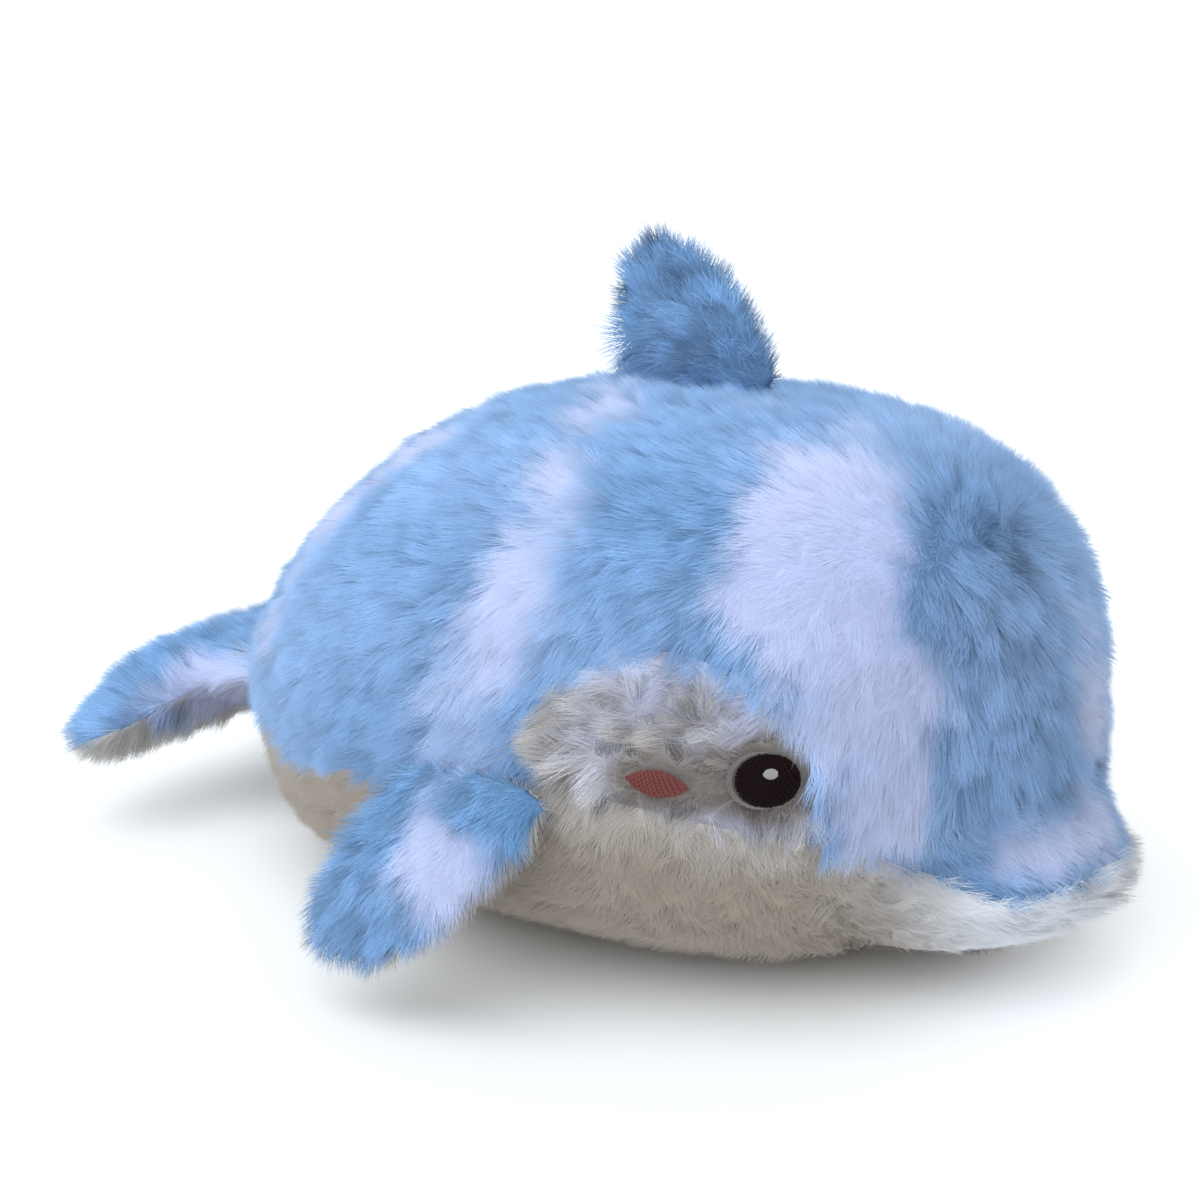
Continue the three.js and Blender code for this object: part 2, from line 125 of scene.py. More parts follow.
# White blotches of the dye: chains of (x, y, z, radius) in millimetres from the body's middle
BODY_BLOTCHES = [
    # right side of the head, down beside the eye patch
    [(104, -19, 201, 5), (108, -45, 194, 15), (111, -73, 178, 26), (119, -86, 161, 29),
     (126, -90, 150, 29), (133, -91, 138, 25), (142, -87, 122, 25), (147, -84, 110, 20),
     (146, -84, 93, 16), (145, -85, 76, 14), (147, -82, 66, 12)],
    # streak behind the fin and down the right flank
    [(0, -14, 205, 10), (10, -42, 204, 9), (15, -70, 197, 7), (24, -94, 184, 13),
     (30, -113, 166, 13), (31, -125, 148, 13), (20, -132, 133, 18), (12, -137, 118, 18),
     (22, -139, 104, 15)],
    # right rear
    [(-88, -84, 161, 11), (-66, -78, 176, 10), (-54, -64, 187, 10), (-48, -44, 193, 8)],
    [(-98, -96, 143, 9), (-104, -98, 127, 9), (-110, -94, 112, 7)],
    # front of the forehead, past the middle
    [(170, 16, 146, 9), (175, 14, 124, 12), (177, 13, 102, 12), (176, 6, 84, 9)],
    # before the fin
    [(62, -26, 207, 4), (70, -14, 207, 4)],
    # beak
    [(172, -34, 66, 9), (180, -18, 64, 9), (178, 24, 66, 7)],
    # left side, which the photograph doesn't show
    [(112, 40, 196, 10), (124, 70, 172, 20), (128, 88, 146, 24), (138, 88, 120, 20),
     (142, 88, 92, 12)],
    [(-14, 50, 200, 9), (-22, 88, 186, 12), (-16, 116, 160, 15), (-6, 130, 132, 17),
     (4, 136, 106, 12)],
    [(-92, 60, 168, 12), (-104, 82, 140, 13), (-102, 96, 112, 10)],
    [(62, 70, 194, 8), (52, 98, 178, 10), (56, 112, 160, 8)],
]
FLIPPER_BLOTCH = [(8, 146, 82, 8), (12, 154, 66, 12), (26, 158, 56, 14)]
TAIL_BLOTCHES = [
    [(-194, -38, 58, 14), (-203, -54, 58, 14), (-208, -68, 58, 11)],
    [(-200, 30, 66, 10), (-214, 46, 60, 9)],
    [(-236, -10, 56, 8), (-238, 10, 56, 8)],
]

# Share of the palest colour in the undyed pile of eye patches and undersides
PLAIN_PALENESS = 0.35
# White pile lets most light through: how much less painted root shade its strands and backing get,
# and how much less its tufts differ
WHITE_CALM = 0.75
# Painted shade, standing in for the shadow between strands, which cast none: how much darker the
# pile is at its roots, and the least that its backing cloth is
PAINTED_ROOT_SHADES = {"dyed": 0.50, "patch": 0.55, "cream": 0.16}
PAINTED_BACKING_SHADE = 0.34
# Painted shade of pile pressed flat around the stitching, as shares of its panel's colour
PRESSED_SHADE_TINT = (0.38, 0.33, 0.31)
# How much the tufts of a panel or limb differ in tone
TONES = {"dyed": 3.4, "patch": 11.0, "cream": 0.8, "dorsal_fin": 9.0, "limb": 7.0}
TONE_STEP = 0.05

# Strands are closed three-sided cones that start a little under the skin
RING_SIDES = 3
STRAND_POINTS = RING_SIDES + 1
STRAND_FACES = RING_SIDES + 1
ROOT_BURY = 0.0005
# Steps that spread points evenly over a triangle
SPREAD_STEPS = (0.7548776662, 0.5698402910)
# Farthest that a strand is drawn to its tuft from, and the length that is drawn in full
TUFT_REACH = 0.012
TUFT_LENGTH = 0.008
GROUND_CLEAR = 0.0008
# How widely tufts, and the strands in them, differ: turn and lean in radians, the rest as shares
TUFT_SPREAD = {"turn": 0.26, "length": 0.10, "tone": 0.5}
STRAND_SPREAD = {
    "turn": 0.24, "lean": 0.10, "length": 0.12, "pull": 0.25, "width": 0.18, "tone": 0.3,
}
# Each strand's cell of the colour map: its margin, and the share that the strand's base takes
CELL_MARGIN = 0.06
CELL_BASE = 0.16
DEPTH_LEVELS = 4
DYE_LEVELS = 8
# Stations, as shares of half the length, where the back's pile is parted into pieces
ZONE_EDGES = (-0.22, 0.42)
# Depth of the filling under its form, in thicknesses of the backing cloth
FILLING_INSET = 1.5
# How far on the body's side of a limb's hinge its lowest strands still grow
ROOT_OVERLAP = 0.007


def number_setting(label, text, default):
    return FloatProperty(name=label, description=text, default=default)


def length_setting(label, text, default):
    return FloatProperty(name=label, description=text, default=default, unit="LENGTH")


def colour_setting(label, text, default):
    return FloatVectorProperty(name=label, description=text, default=default, subtype="COLOR")


def way_setting(label, text, default):
    return FloatVectorProperty(name=label, description=text, default=default, subtype="DIRECTION")


def place_setting(label, text, default):
    return FloatVectorProperty(
        name=label, description=text, default=default, subtype="TRANSLATION", unit="LENGTH")


class DolphinShape(bpy.types.PropertyGroup):
    """Sizes of the stuffed forms and their skins."""

    body_voxel: length_setting("Body Grid", "Grid that the body's form is fused on", 0.005)
    limb_voxel: length_setting("Limb Grid", "Grid that each limb's form is fused on", 0.003)
    body_sink: length_setting(
        "Body Seam Depth", "How far the body's seams lie under the solids", 0.0040)
    limb_sink: length_setting(
        "Limb Depth", "Most that the limbs' faces lie under the solids", 0.004)
    body_plump: length_setting(
        "Body Swell", "Most that the filling lifts the body's panels", 0.0045)
    limb_plump: length_setting(
        "Limb Swell", "Most that the filling lifts the limbs' panels", 0.0025)
    pressure: number_setting(
        "Filling Pressure", "Pressure of the filling in the simulation", 4.0)
    skin_thickness: length_setting(
        "Backing Thickness", "Thickness of the plush's backing cloth", 0.0018)
    sim_frames: IntProperty(
        name="Frames", description="Frames that the filling swells for", default=20)


class DolphinPile(bpy.types.PropertyGroup):
    """Lengths, density and combing of the pile."""

    back_length: length_setting("Back Pile", "Length of the dyed pile", 0.0125)
    belly_length: length_setting("Belly Pile", "Length of the pale belly pile", 0.0085)
    patch_length: length_setting("Eye Patch Pile", "Length of the eye patches' pile", 0.0120)
    pressed_length: length_setting("Pressed Pile", "Length of the pile by the stitching", 0.0030)
    fin_length: length_setting("Fin Pile", "Length of the back fin's pile", 0.0092)
    flipper_length: length_setting("Flipper Pile", "Length of the flippers' pile", 0.0095)
    beak_length: length_setting("Beak Pile", "Length of the pile over the mouth", 0.0075)
    jaw_length: length_setting("Jaw Pile", "Length of the pile on the lower jaw", 0.0120)
    tail_length: length_setting("Tail Pile", "Length of the tail's pile", 0.0120)
    per_cm2: number_setting("Strands", "Strands on each square centimetre of skin", 190.0)
    width: length_setting("Strand Width", "Width of a strand at its thickest", 0.00032)
    clump_spacing: length_setting("Tuft Spacing", "Distance between tufts", 0.0062)
    clump_pull: FloatProperty(
        name="Tuft Pull", description="How far the tips draw together into tufts", default=0.30,
        subtype="FACTOR", min=0.0, max=1.0)
    seed: IntProperty(name="Seed", description="Start of the scatter's numbers", default=7)


class DolphinColours(bpy.types.PropertyGroup):
    """Dyes and threads, as linear colours."""

    blue: colour_setting("Blue Dye", "Dyed parts of the pile", (0.365, 0.570, 0.930))
    deep_blue: colour_setting("Deep Blue Dye", "Where the dye took most", (0.190, 0.395, 0.705))
    white: colour_setting("Undyed Pile", "Parts that the dye left out", (0.660, 0.705, 0.960))
    cream: colour_setting("Cream Pile", "Belly and undersides", (0.490, 0.425, 0.360))
    # The chin colour is the jaw's own pale pile, with painted light on top: it is paler than the
    # other white pile, where the beak shades the jaw
    chin: colour_setting("Chin Pile", "Palest part of the lower jaw", (0.900, 0.930, 1.000))
    patch: colour_setting("Eye Patch Pile", "Eye patches", (0.535, 0.495, 0.470))
    eye: colour_setting("Eye Thread", "Stitched eyes", (0.009, 0.003, 0.003))
    rim: colour_setting("Rim Thread", "Stitched crescent by each eye", (0.190, 0.160, 0.160))
    glint: colour_setting("Glint Thread", "Stitched glint in each eye", (0.350, 0.335, 0.335))
    cheek: colour_setting("Cheek Thread", "Stitched cheeks", (0.200, 0.064, 0.060))
    filling: colour_setting("Filling", "Fibre inside the toy", (0.870, 0.870, 0.840))
    floor: colour_setting("Floor", "Plain floor", (0.930, 0.930, 0.930))


class DolphinStage(bpy.types.PropertyGroup):
    """Light and view."""

    key_strength: number_setting("Key Light", "Strength of the soft light from above", 2.6)
    fill_strength: number_setting("Fill Light", "Strength of the light from the other side", 0.9)
    key_from: way_setting("Key Direction", "Where the key light comes from", (0.02, -0.74, 1.0))
    fill_from: way_setting("Fill Direction", "Where the fill light comes from", (-0.45, 0.80, 0.60))
    light_colour: colour_setting("Light Colour", "Cool colour of both lights", (0.84, 0.93, 1.0))
    light_spread: FloatProperty(
        name="Light Spread", description="How wide both lights are in the sky", subtype="ANGLE",
        default=math.radians(75))
    sky: number_setting("Sky", "Strength of the even light all round", 0.60)
    sky_colour: colour_setting("Sky Colour", "Warm colour of the even light", (1.0, 0.965, 0.92))
    horizon: number_setting("Horizon", "Strength of the backdrop at the floor's far edge", 1.1)
    lens: number_setting("Lens", "Focal length on a 36 mm sensor, in millimetres", 55.21)
    eye_place: place_setting("Camera", "Where the camera stands", (0.4134, -0.5945, 0.2947))
    target: place_setting("Target", "Where the camera looks", (0.0105, -0.0126, 0.1180))


# Small tools


def smoothstep(low, high, values):
    share = np.clip((values - low) / (high - low), 0, 1)
    return share * share * (3 - 2 * share)


def unit(vectors):
    return vectors / np.maximum(np.linalg.norm(vectors, axis=1, keepdims=True), 1e-9)


def mix(first, second, share):
    return first + (second - first) * share[:, None]


def spline(points, steps=8):
    """Points of a smooth curve through the given ones."""
    ends = np.array([points[0], *points, points[-1]], float)
    curve = []
    for p0, p1, p2, p3 in zip(ends, ends[1:], ends[2:], ends[3:]):
        for t in np.linspace(0, 1, steps, endpoint=False):
            v0, v1 = (p2 - p0) / 2, (p3 - p1) / 2
            bend = (2 * p1 - 2 * p2 + v0 + v1) * t ** 3
            curve.append(bend + (-3 * p1 + 3 * p2 - 2 * v0 - v1) * t ** 2 + v0 * t + p1)
    curve.append(ends[-1])
    return np.array(curve)


SEAM_CURVE = spline(SEAM_LINE)
PATCH_CURVE = spline(PATCH_LINE)


def nearest(points, start, end):
    """Share of the way from start to end that lies nearest each point, and its distance."""
    along = end - start
    share = np.clip((points - start) @ along / max(along @ along, 1e-12), 0, 1)
    return share, np.linalg.norm(points - start - share[:, None] * along, axis=1)


def distance_to_chain(points, chain):
    """Distance of each point from a chain of points."""
    best = np.full(len(points), 1e9)
    for start, end in zip(chain, chain[1:]):
        best = np.minimum(best, nearest(points, start, end)[1])
    return best


def seam_height(x):
    """Height of the belly's seam at stations ahead of the body's middle."""
    return np.interp(x, SEAM_CURVE[:, 0], SEAM_CURVE[:, 1])


def side_view(points):
    """Points as (x, z), with x ahead of the body's middle."""
    return np.stack([points[:, 0] - BODY_MIDDLE, points[:, 2]], axis=1)


def inside_outline(points, outline):
    """Whether each (x, z) point lies in a closed outline."""
    inside = np.zeros(len(points), bool)
    x, z = points[:, 0], points[:, 1]
    for (ax, az), (bx, bz) in zip(outline, np.roll(outline, -1, axis=0)):
        if az == bz:
            continue
        crosses = (az > z) != (bz > z)
        inside ^= crosses & (x < (bx - ax) * (z - az) / (bz - az) + ax)
    return inside


def lattice_noise(points, cell, seed):
    """Smooth noise from -1 to 1 with features about a cell wide."""
    scaled = points / cell + 100.0
    base = np.floor(scaled).astype(np.int64)
    share = scaled - base
    share = share * share * (3 - 2 * share)
    total = np.zeros(len(points))
    for corner in np.ndindex(2, 2, 2):
        mixed = np.bitwise_xor.reduce((base + corner) * HASH_STEPS, axis=1)
        mixed = (mixed ^ seed * HASH_SEED_STEP) & HASH_MASK
        for shift, step in HASH_ROUNDS:
            mixed = ((mixed ^ (mixed >> shift)) * step) & HASH_MASK
        weight = np.prod(np.where(corner, share, 1 - share), axis=1)
        total += weight * (mixed / (HASH_MASK // 2) - 1)
    return total


def flank(x, z):
    """Half width of the body's side at a station ahead of its middle and a height."""
    share = np.clip(np.abs(x) / HALF_LENGTH, 0, 0.999)
    dip = np.where(x > 0, NOSE_DIP, RUMP_DIP)
    equator = EQUATOR - dip * share ** 2
    width = HALF_WIDTH * (1 - share ** PLAN_POWER) ** (1 / PLAN_POWER)
    rise = BACK_RISE * (1 - share ** BACK_POWER) ** 0.5
    drop = BELLY_DROP * (1 - share ** BELLY_POWER) ** 0.5
    up = np.clip(np.abs(z - equator) / np.where(z > equator, rise, drop), 0, 0.999)
    return width * (1 - up ** SECTION_POWER) ** (1 / SECTION_POWER)


def deselect():
    bpy.ops.object.select_all(action="DESELECT")


def make_active(piece):
    deselect()
    piece.select_set(True)
    bpy.context.view_layer.objects.active = piece


def apply_modifier(piece, kind, **settings):
    modifier = piece.modifiers.new(kind.title(), kind)
    for name, value in settings.items():
        setattr(modifier, name, value)
    make_active(piece)
    bpy.ops.object.modifier_apply(modifier=modifier.name)


def new_piece(name, mesh):
    piece = bpy.data.objects.new(name, mesh)
    bpy.context.scene.collection.objects.link(piece)
    return piece


def copied(piece, name):
    return new_piece(name, piece.data.copy())


def remove(piece):
    mesh = piece.data
    bpy.data.objects.remove(piece)
    bpy.data.meshes.remove(mesh)


def vertex_vectors(mesh, name):
    flat = np.empty(len(mesh.vertices) * 3, np.float32)
    mesh.vertices.foreach_get(name, flat)
    return flat.reshape(-1, 3).astype(float)


def points_of(mesh):
    return vertex_vectors(mesh, "co")


def normals_of(mesh):
    return vertex_vectors(mesh, "normal")


def edit_all(piece, operator, **settings):
    """Runs a mesh operator on the whole of a piece."""
    make_active(piece)
    bpy.ops.object.mode_set(mode="EDIT")
    bpy.ops.mesh.select_all(action="SELECT")
    operator(**settings)
    bpy.ops.object.mode_set(mode="OBJECT")


def face_outwards(piece):
    edit_all(piece, bpy.ops.mesh.normals_make_consistent, inside=False)


def shade_smooth(piece):
    make_active(piece)
    bpy.ops.object.shade_smooth()


def set_points(mesh, points):
    mesh.vertices.foreach_set("co", points.astype(np.float32).ravel())
    mesh.update()


def set_weights(piece, name, weights):
    group = piece.vertex_groups.new(name=name)
    for index, weight in enumerate(weights):
        group.add([index], float(weight), "REPLACE")


def set_attribute(mesh, name, values):
    layer = mesh.attributes.new(name, "FLOAT", "POINT")
    layer.data.foreach_set("value", values.astype(np.float32))


# Materials


def new_group(name, inputs, outputs):
    group = bpy.data.node_groups.new(name, "ShaderNodeTree")
    for label, kind in inputs:
        group.interface.new_socket(label, in_out="INPUT", socket_type=kind)
    for label, kind in outputs:
        group.interface.new_socket(label, in_out="OUTPUT", socket_type=kind)
    return group, group.nodes.new("NodeGroupInput"), group.nodes.new("NodeGroupOutput")


def math_node(tree, operation, *values):
    node = tree.nodes.new("ShaderNodeMath")
    node.operation = operation
    for socket, value in zip(node.inputs, values):
        if isinstance(value, (int, float)):
            socket.default_value = value
        else:
            tree.links.new(value, socket)
    return node.outputs["Value"]


def mix_colour(tree, share, first, second, blend="MIX"):
    node = tree.nodes.new("ShaderNodeMix")
    node.data_type = "RGBA"
    node.blend_type = blend
    sockets = (node.inputs[0], node.inputs[6], node.inputs[7])
    for socket, value in zip(sockets, (share, first, second)):
        if isinstance(value, (int, float, tuple)):
            socket.default_value = value
        else:
            tree.links.new(value, socket)
    return node.outputs[2]


def attribute(tree, name):
    node = tree.nodes.new("ShaderNodeAttribute")
    node.attribute_name = name
    return node.outputs["Fac"]


def opaque(colour):
    return (*colour, 1.0)


def strand_shade():
    """Group that paints shade on a strand towards its root, for the shadow between strands, and
    varies it from tuft to tuft.
    """
    name = "strand_shade"
    if name in bpy.data.node_groups:
        return bpy.data.node_groups[name]
    group, given, result = new_group(
        name,
        [("Color", "NodeSocketColor"), ("Tone", "NodeSocketFloat"), ("Along", "NodeSocketFloat"),
         ("Root Shade", "NodeSocketFloat")],
        [("Color", "NodeSocketColor")])
    lit = math_node(group, "SUBTRACT", 1.0, given.outputs["Root Shade"])
    rising = math_node(group, "MULTIPLY", given.outputs["Along"], given.outputs["Root Shade"])
    shade = math_node(group, "ADD", lit, rising)
    varied = math_node(group, "MULTIPLY_ADD", given.outputs["Tone"], TONE_STEP, 1.0)
    level = math_node(group, "MULTIPLY", shade, varied)
    grey = group.nodes.new("ShaderNodeCombineColor")
    for channel in ("Red", "Green", "Blue"):
        group.links.new(level, grey.inputs[channel])
    shaded = mix_colour(group, 1.0, given.outputs["Color"], grey.outputs["Color"], "MULTIPLY")
    group.links.new(shaded, result.inputs["Color"])
    return group


def new_material(name, roughness, sheen=0.0, specular=0.1):
    material = bpy.data.materials.new(name)
    material.use_nodes = True
    shader = material.node_tree.nodes["Principled BSDF"]
    shader.inputs["Roughness"].default_value = roughness
    shader.inputs["Specular IOR Level"].default_value = specular
    shader.inputs["Sheen Weight"].default_value = sheen
    shader.inputs["Sheen Roughness"].default_value = 0.5
    return material, material.node_tree, shader


def dye_colour(tree, colours):
    """Colour of dyed pile from the dye and depth that each point carries."""
    blue = mix_colour(
        tree, attribute(tree, "depth"), opaque(colours.blue), opaque(colours.deep_blue))
    return mix_colour(tree, attribute(tree, "dye"), blue, opaque(colours.white))


def plain_colour(tree, colours, name):
    """Colour of undyed pile, with painted shade, darker and warmer, where it is pressed flat."""
    colour = getattr(colours, name)
    # On the belly the chin colour is partly painted light, paler than the white pile, where the
    # beak shades the jaw
    palest = colours.chin if name == "cream" else colours.white
    # warm is the painted shade of the pressed pile, laid on by the depth attribute
    warm = tuple(channel * share for channel, share in zip(colour, PRESSED_SHADE_TINT))
    pale = mix_colour(tree, attribute(tree, "dye"), opaque(colour), opaque(palest))
    return mix_colour(tree, attribute(tree, "depth"), pale, opaque(warm))


def colour_pile(tree, shader, source, root_shade, tone):
    """Gives a shader a panel's colours, with painted shade towards the roots of its pile."""
    colours = bpy.context.scene.dolphin_colours
    if source == "dyed":
        colour = dye_colour(tree, colours)
    else:
        colour = plain_colour(tree, colours, source)
    shade = tree.nodes.new("ShaderNodeGroup")
    shade.node_tree = strand_shade()
    shade.inputs["Root Shade"].default_value = root_shade
    tree.links.new(colour, shade.inputs["Color"])
    tree.links.new(tone, shade.inputs["Tone"])
    tree.links.new(attribute(tree, "along"), shade.inputs["Along"])
    tree.links.new(shade.outputs["Color"], shader.inputs["Base Color"])


def noise(tree, scale):
    """Fine unevenness in a piece's own space."""
    place = tree.nodes.new("ShaderNodeTexCoord")
    texture = tree.nodes.new("ShaderNodeTexNoise")
    texture.inputs["Scale"].default_value = scale
    tree.links.new(place.outputs["Object"], texture.inputs["Vector"])
    return texture.outputs["Fac"]


def mottled(tree, share, colour, dark):
    """A colour that noise darkens in places, to the given share of itself."""
    darkest = tuple(channel * dark for channel in colour)
    return mix_colour(tree, share, opaque(darkest), opaque(colour))


def emboss(tree, shader, height, strength, distance):
    bump = tree.nodes.new("ShaderNodeBump")
    bump.inputs["Strength"].default_value = strength
    bump.inputs["Distance"].default_value = distance
    tree.links.new(height, bump.inputs["Height"])
    tree.links.new(bump.outputs["Normal"], shader.inputs["Normal"])


def pile_material(source):
    """Material of strands: source is dyed or the name of a plain colour."""
    name = f"{source}_pile"
    if name in bpy.data.materials:
        return bpy.data.materials[name]
    material, tree, shader = new_material(name, roughness=0.85, sheen=0.12, specular=0.15)
    colour_pile(tree, shader, source, PAINTED_ROOT_SHADES[source], attribute(tree, "tone"))
    return material


def backing_material(source):
    """Knitted backing cloth under the pile, in the colour of the strands' roots with their painted
    shade, for the shadow of the pile over it.
    """
    name = f"{source}_backing"
    if name in bpy.data.materials:
        return bpy.data.materials[name]
    material, tree, shader = new_material(name, roughness=0.95)
    knit = noise(tree, scale=900.0)
    colour_pile(tree, shader, source, max(PAINTED_BACKING_SHADE, PAINTED_ROOT_SHADES[source]), knit)
    emboss(tree, shader, knit, strength=0.3, distance=0.0005)
    return material


def thread_material(source):
    """Satin embroidery thread, with fine twist along its length."""
    name = f"{source}_threads"
    if name in bpy.data.materials:
        return bpy.data.materials[name]
    material, tree, shader = new_material(name, roughness=0.5, specular=0.08)
    twist = noise(tree, scale=2200.0)
    colour = getattr(bpy.context.scene.dolphin_colours, source)
    tree.links.new(mottled(tree, twist, colour, dark=0.7), shader.inputs["Base Color"])
    rough = math_node(tree, "MULTIPLY_ADD", twist, 0.25, 0.38)
    tree.links.new(rough, shader.inputs["Roughness"])
    emboss(tree, shader, twist, strength=0.25, distance=0.0002)
    return material


def filling_material():
    name = "fibre_filling"
    if name in bpy.data.materials:
        return bpy.data.materials[name]
    material, tree, shader = new_material(name, roughness=0.95)
    colour = bpy.context.scene.dolphin_colours.filling
    fluff = mottled(tree, noise(tree, scale=120.0), colour, dark=0.85)
    tree.links.new(fluff, shader.inputs["Base Color"])
    return material


# Dye


def blotch_cover(points, chains):
    """Share of white at each point, with ragged soft edges."""
    edge = 0.009 * lattice_noise(points, 0.022, 3) + 0.006 * lattice_noise(points, 0.009, 4)
    gap = np.full(len(points), 1.0)
    for chain in chains:
        chain = np.array(chain, float) / 1000
        chain[:, 0] += BODY_MIDDLE
        for start, end in zip(chain, chain[1:]):
            share, away = nearest(points, start[:3], end[:3])
            gap = np.minimum(gap, away - (start[3] + (end[3] - start[3]) * share))
    faded = 0.90 + 0.10 * lattice_noise(points, 0.026, 5)
    return faded * (1 - smoothstep(-0.010, 0.008, gap + edge))


def dye_depth(points):
    return np.clip(0.30 + 0.4 * lattice_noise(points, 0.045, 11), 0, 1)


def belly_paleness(points):
    """The belly panel's pile is white at the chin, and pale where it meets the eye patches."""
    x, z = side_view(points).T
    below_seam = seam_height(x) - z + 0.008 * lattice_noise(points, 0.012, 42)
    hem = 0.22 * (1 - smoothstep(0.0, 0.022, below_seam))
    hem = hem * smoothstep(0.035, 0.055, x) * (1 - smoothstep(0.115, 0.135, x))
    return np.maximum(smoothstep(0.115, 0.170, x), hem)


def body_dye(points):
    return blotch_cover(points, BODY_BLOTCHES), dye_depth(points)


def belly_dye(points):
    return belly_paleness(points), np.zeros(len(points))


def patch_pale_and_pressed_shade(points):
    # Paleness of an eye patch, and painted shade as depth where its pile is pressed around the
    # stitching
    pressed = pressed_nearness(points)
    return PLAIN_PALENESS * (1 - pressed), 0.4 * pressed


def plain_dye(points):
    return np.full(len(points), PLAIN_PALENESS), np.zeros(len(points))


# Stuffed forms


def fused_form(name, nodes, voxel):
    """One closed mesh around copies of CAD nodes, with the narrow gaps between them closed."""
    copies = [new_piece(name, frame["nodes"][node].data.copy()) for node in nodes]
    deselect()
    for copy in copies:
        copy.select_set(True)
    bpy.context.view_layer.objects.active = copies[0]
    bpy.ops.object.join()
    form = bpy.context.view_layer.objects.active
    form.name = name
    form.data.materials.clear()
    edit_all(form, bpy.ops.mesh.remove_doubles, threshold=1e-5)
    apply_modifier(form, "REMESH", mode="VOXEL", voxel_size=voxel)
    apply_modifier(form, "SMOOTH", factor=0.5, iterations=6)
    return form


def stuffed(form, sink, plump, sewn, drawn):
    """Draws the form in, then swells it by cloth pressure between its sewn lines.

    sewn is 1 on seams, which stay where they are drawn in to, and drawn is the share of
    the sink that each point takes.
    """
    shape = bpy.context.scene.dolphin_shape
    set_weights(form, "drawn_in", drawn)
    apply_modifier(form, "DISPLACE", strength=-sink, mid_level=0.0, vertex_group="drawn_in")
    set_weights(form, "sewn", sewn)
    rest = points_of(form.data)
    moved = simulated(form, shape) - rest
    reach = np.linalg.norm(moved, axis=1, keepdims=True)
    moved *= plump * np.tanh(reach / plump) / np.maximum(reach, 1e-9)
    points = rest + moved
    points[:, 2] = np.maximum(points[:, 2], 2 * GROUND_CLEAR)
    set_points(form.data, points)
    apply_modifier(form, "SMOOTH", factor=0.4, iterations=2)
    form.vertex_groups.clear()


def simulated(form, shape):
    """Where the filling's pressure brings the points of a form, with its sewn group held."""
    scene = bpy.context.scene
    cloth = form.modifiers.new("Filling", "CLOTH")
    settings = cloth.settings
    settings.use_pressure = True
    settings.uniform_pressure_force = shape.pressure
    settings.vertex_group_mass = "sewn"
    settings.effector_weights.gravity = 0.0
    cloth.collision_settings.use_collision = False
    cloth.point_cache.frame_start = 1
    cloth.point_cache.frame_end = shape.sim_frames
    for number in range(1, shape.sim_frames + 1):
        scene.frame_set(number)
    make_active(form)
    bpy.ops.object.modifier_apply(modifier=cloth.name)
    scene.frame_set(1)
    return points_of(form.data)


def prism(name, outline, axes, origin, depth):
    """Closed block: an outline along the first two axes, drawn out along the third to depth."""
    first, second, third = (np.array(axis, float) for axis in axes)
    corners = [tuple(origin + a * first + b * second) for a, b in outline]
    mesh = bpy.data.meshes.new(name)
    mesh.from_pydata(corners, [], [tuple(range(len(corners)))])
    block = new_piece(name, mesh)
    reach = {"value": tuple(third * depth)}
    edit_all(block, bpy.ops.mesh.extrude_region_move, TRANSFORM_OT_translate=reach)
    face_outwards(block)
    return block


def cut(piece, block, operation):
    apply_modifier(piece, "BOOLEAN", operation=operation, object=block, solver="MANIFOLD")
    if not piece.data.polygons:
        raise RuntimeError(f"{piece.name} is empty after cutting it to its panel")


def skin_of(form, name, room):
    """Backing cloth of a whole form: a closed wall just inside its surface.

    room is how far each point may move inwards before it meets the other side.
    """
    shape = bpy.context.scene.dolphin_shape
    skin = copied(form, name)
    set_weights(skin, "wall", np.clip(room / shape.skin_thickness, 0.15, 1))
    apply_modifier(
        skin, "SOLIDIFY", thickness=shape.skin_thickness, offset=-1.0, vertex_group="wall",
        thickness_vertex_group=0.0)
    skin.vertex_groups.clear()
    return skin


def filling_of(form, name, room):
    """Fibre filling of a whole form, inside its backing cloth."""
    depth = FILLING_INSET * bpy.context.scene.dolphin_shape.skin_thickness
    filling = copied(form, name)
    set_weights(filling, "depth", np.clip(1.4 * room / depth, 0.2, 1))
    apply_modifier(filling, "DISPLACE", strength=-depth, mid_level=0.0, vertex_group="depth")
    filling.vertex_groups.clear()
    filling.data.materials.append(filling_material())
    shade_smooth(filling)
    return filling


def finish_skin(skin, source, dye_at):
    """Gives a cut skin its backing cloth; dye_at returns the dye and depth at points."""
    mesh = skin.data
    mesh.materials.clear()
    mesh.polygons.foreach_set("material_index", np.zeros(len(mesh.polygons), np.int32))
    dye, depth = dye_at(points_of(mesh))
    set_attribute(mesh, "dye", dye)
    # depth is deep dye on dyed panels, and painted shade of the pressed pile on eye patches
    set_attribute(mesh, "depth", depth)
    # along sets how much painted root shade the backing gets, less under white pile
    set_attribute(mesh, "along", WHITE_CALM * dye)
    mesh.materials.append(backing_material(source))
    shade_smooth(skin)


# Pile


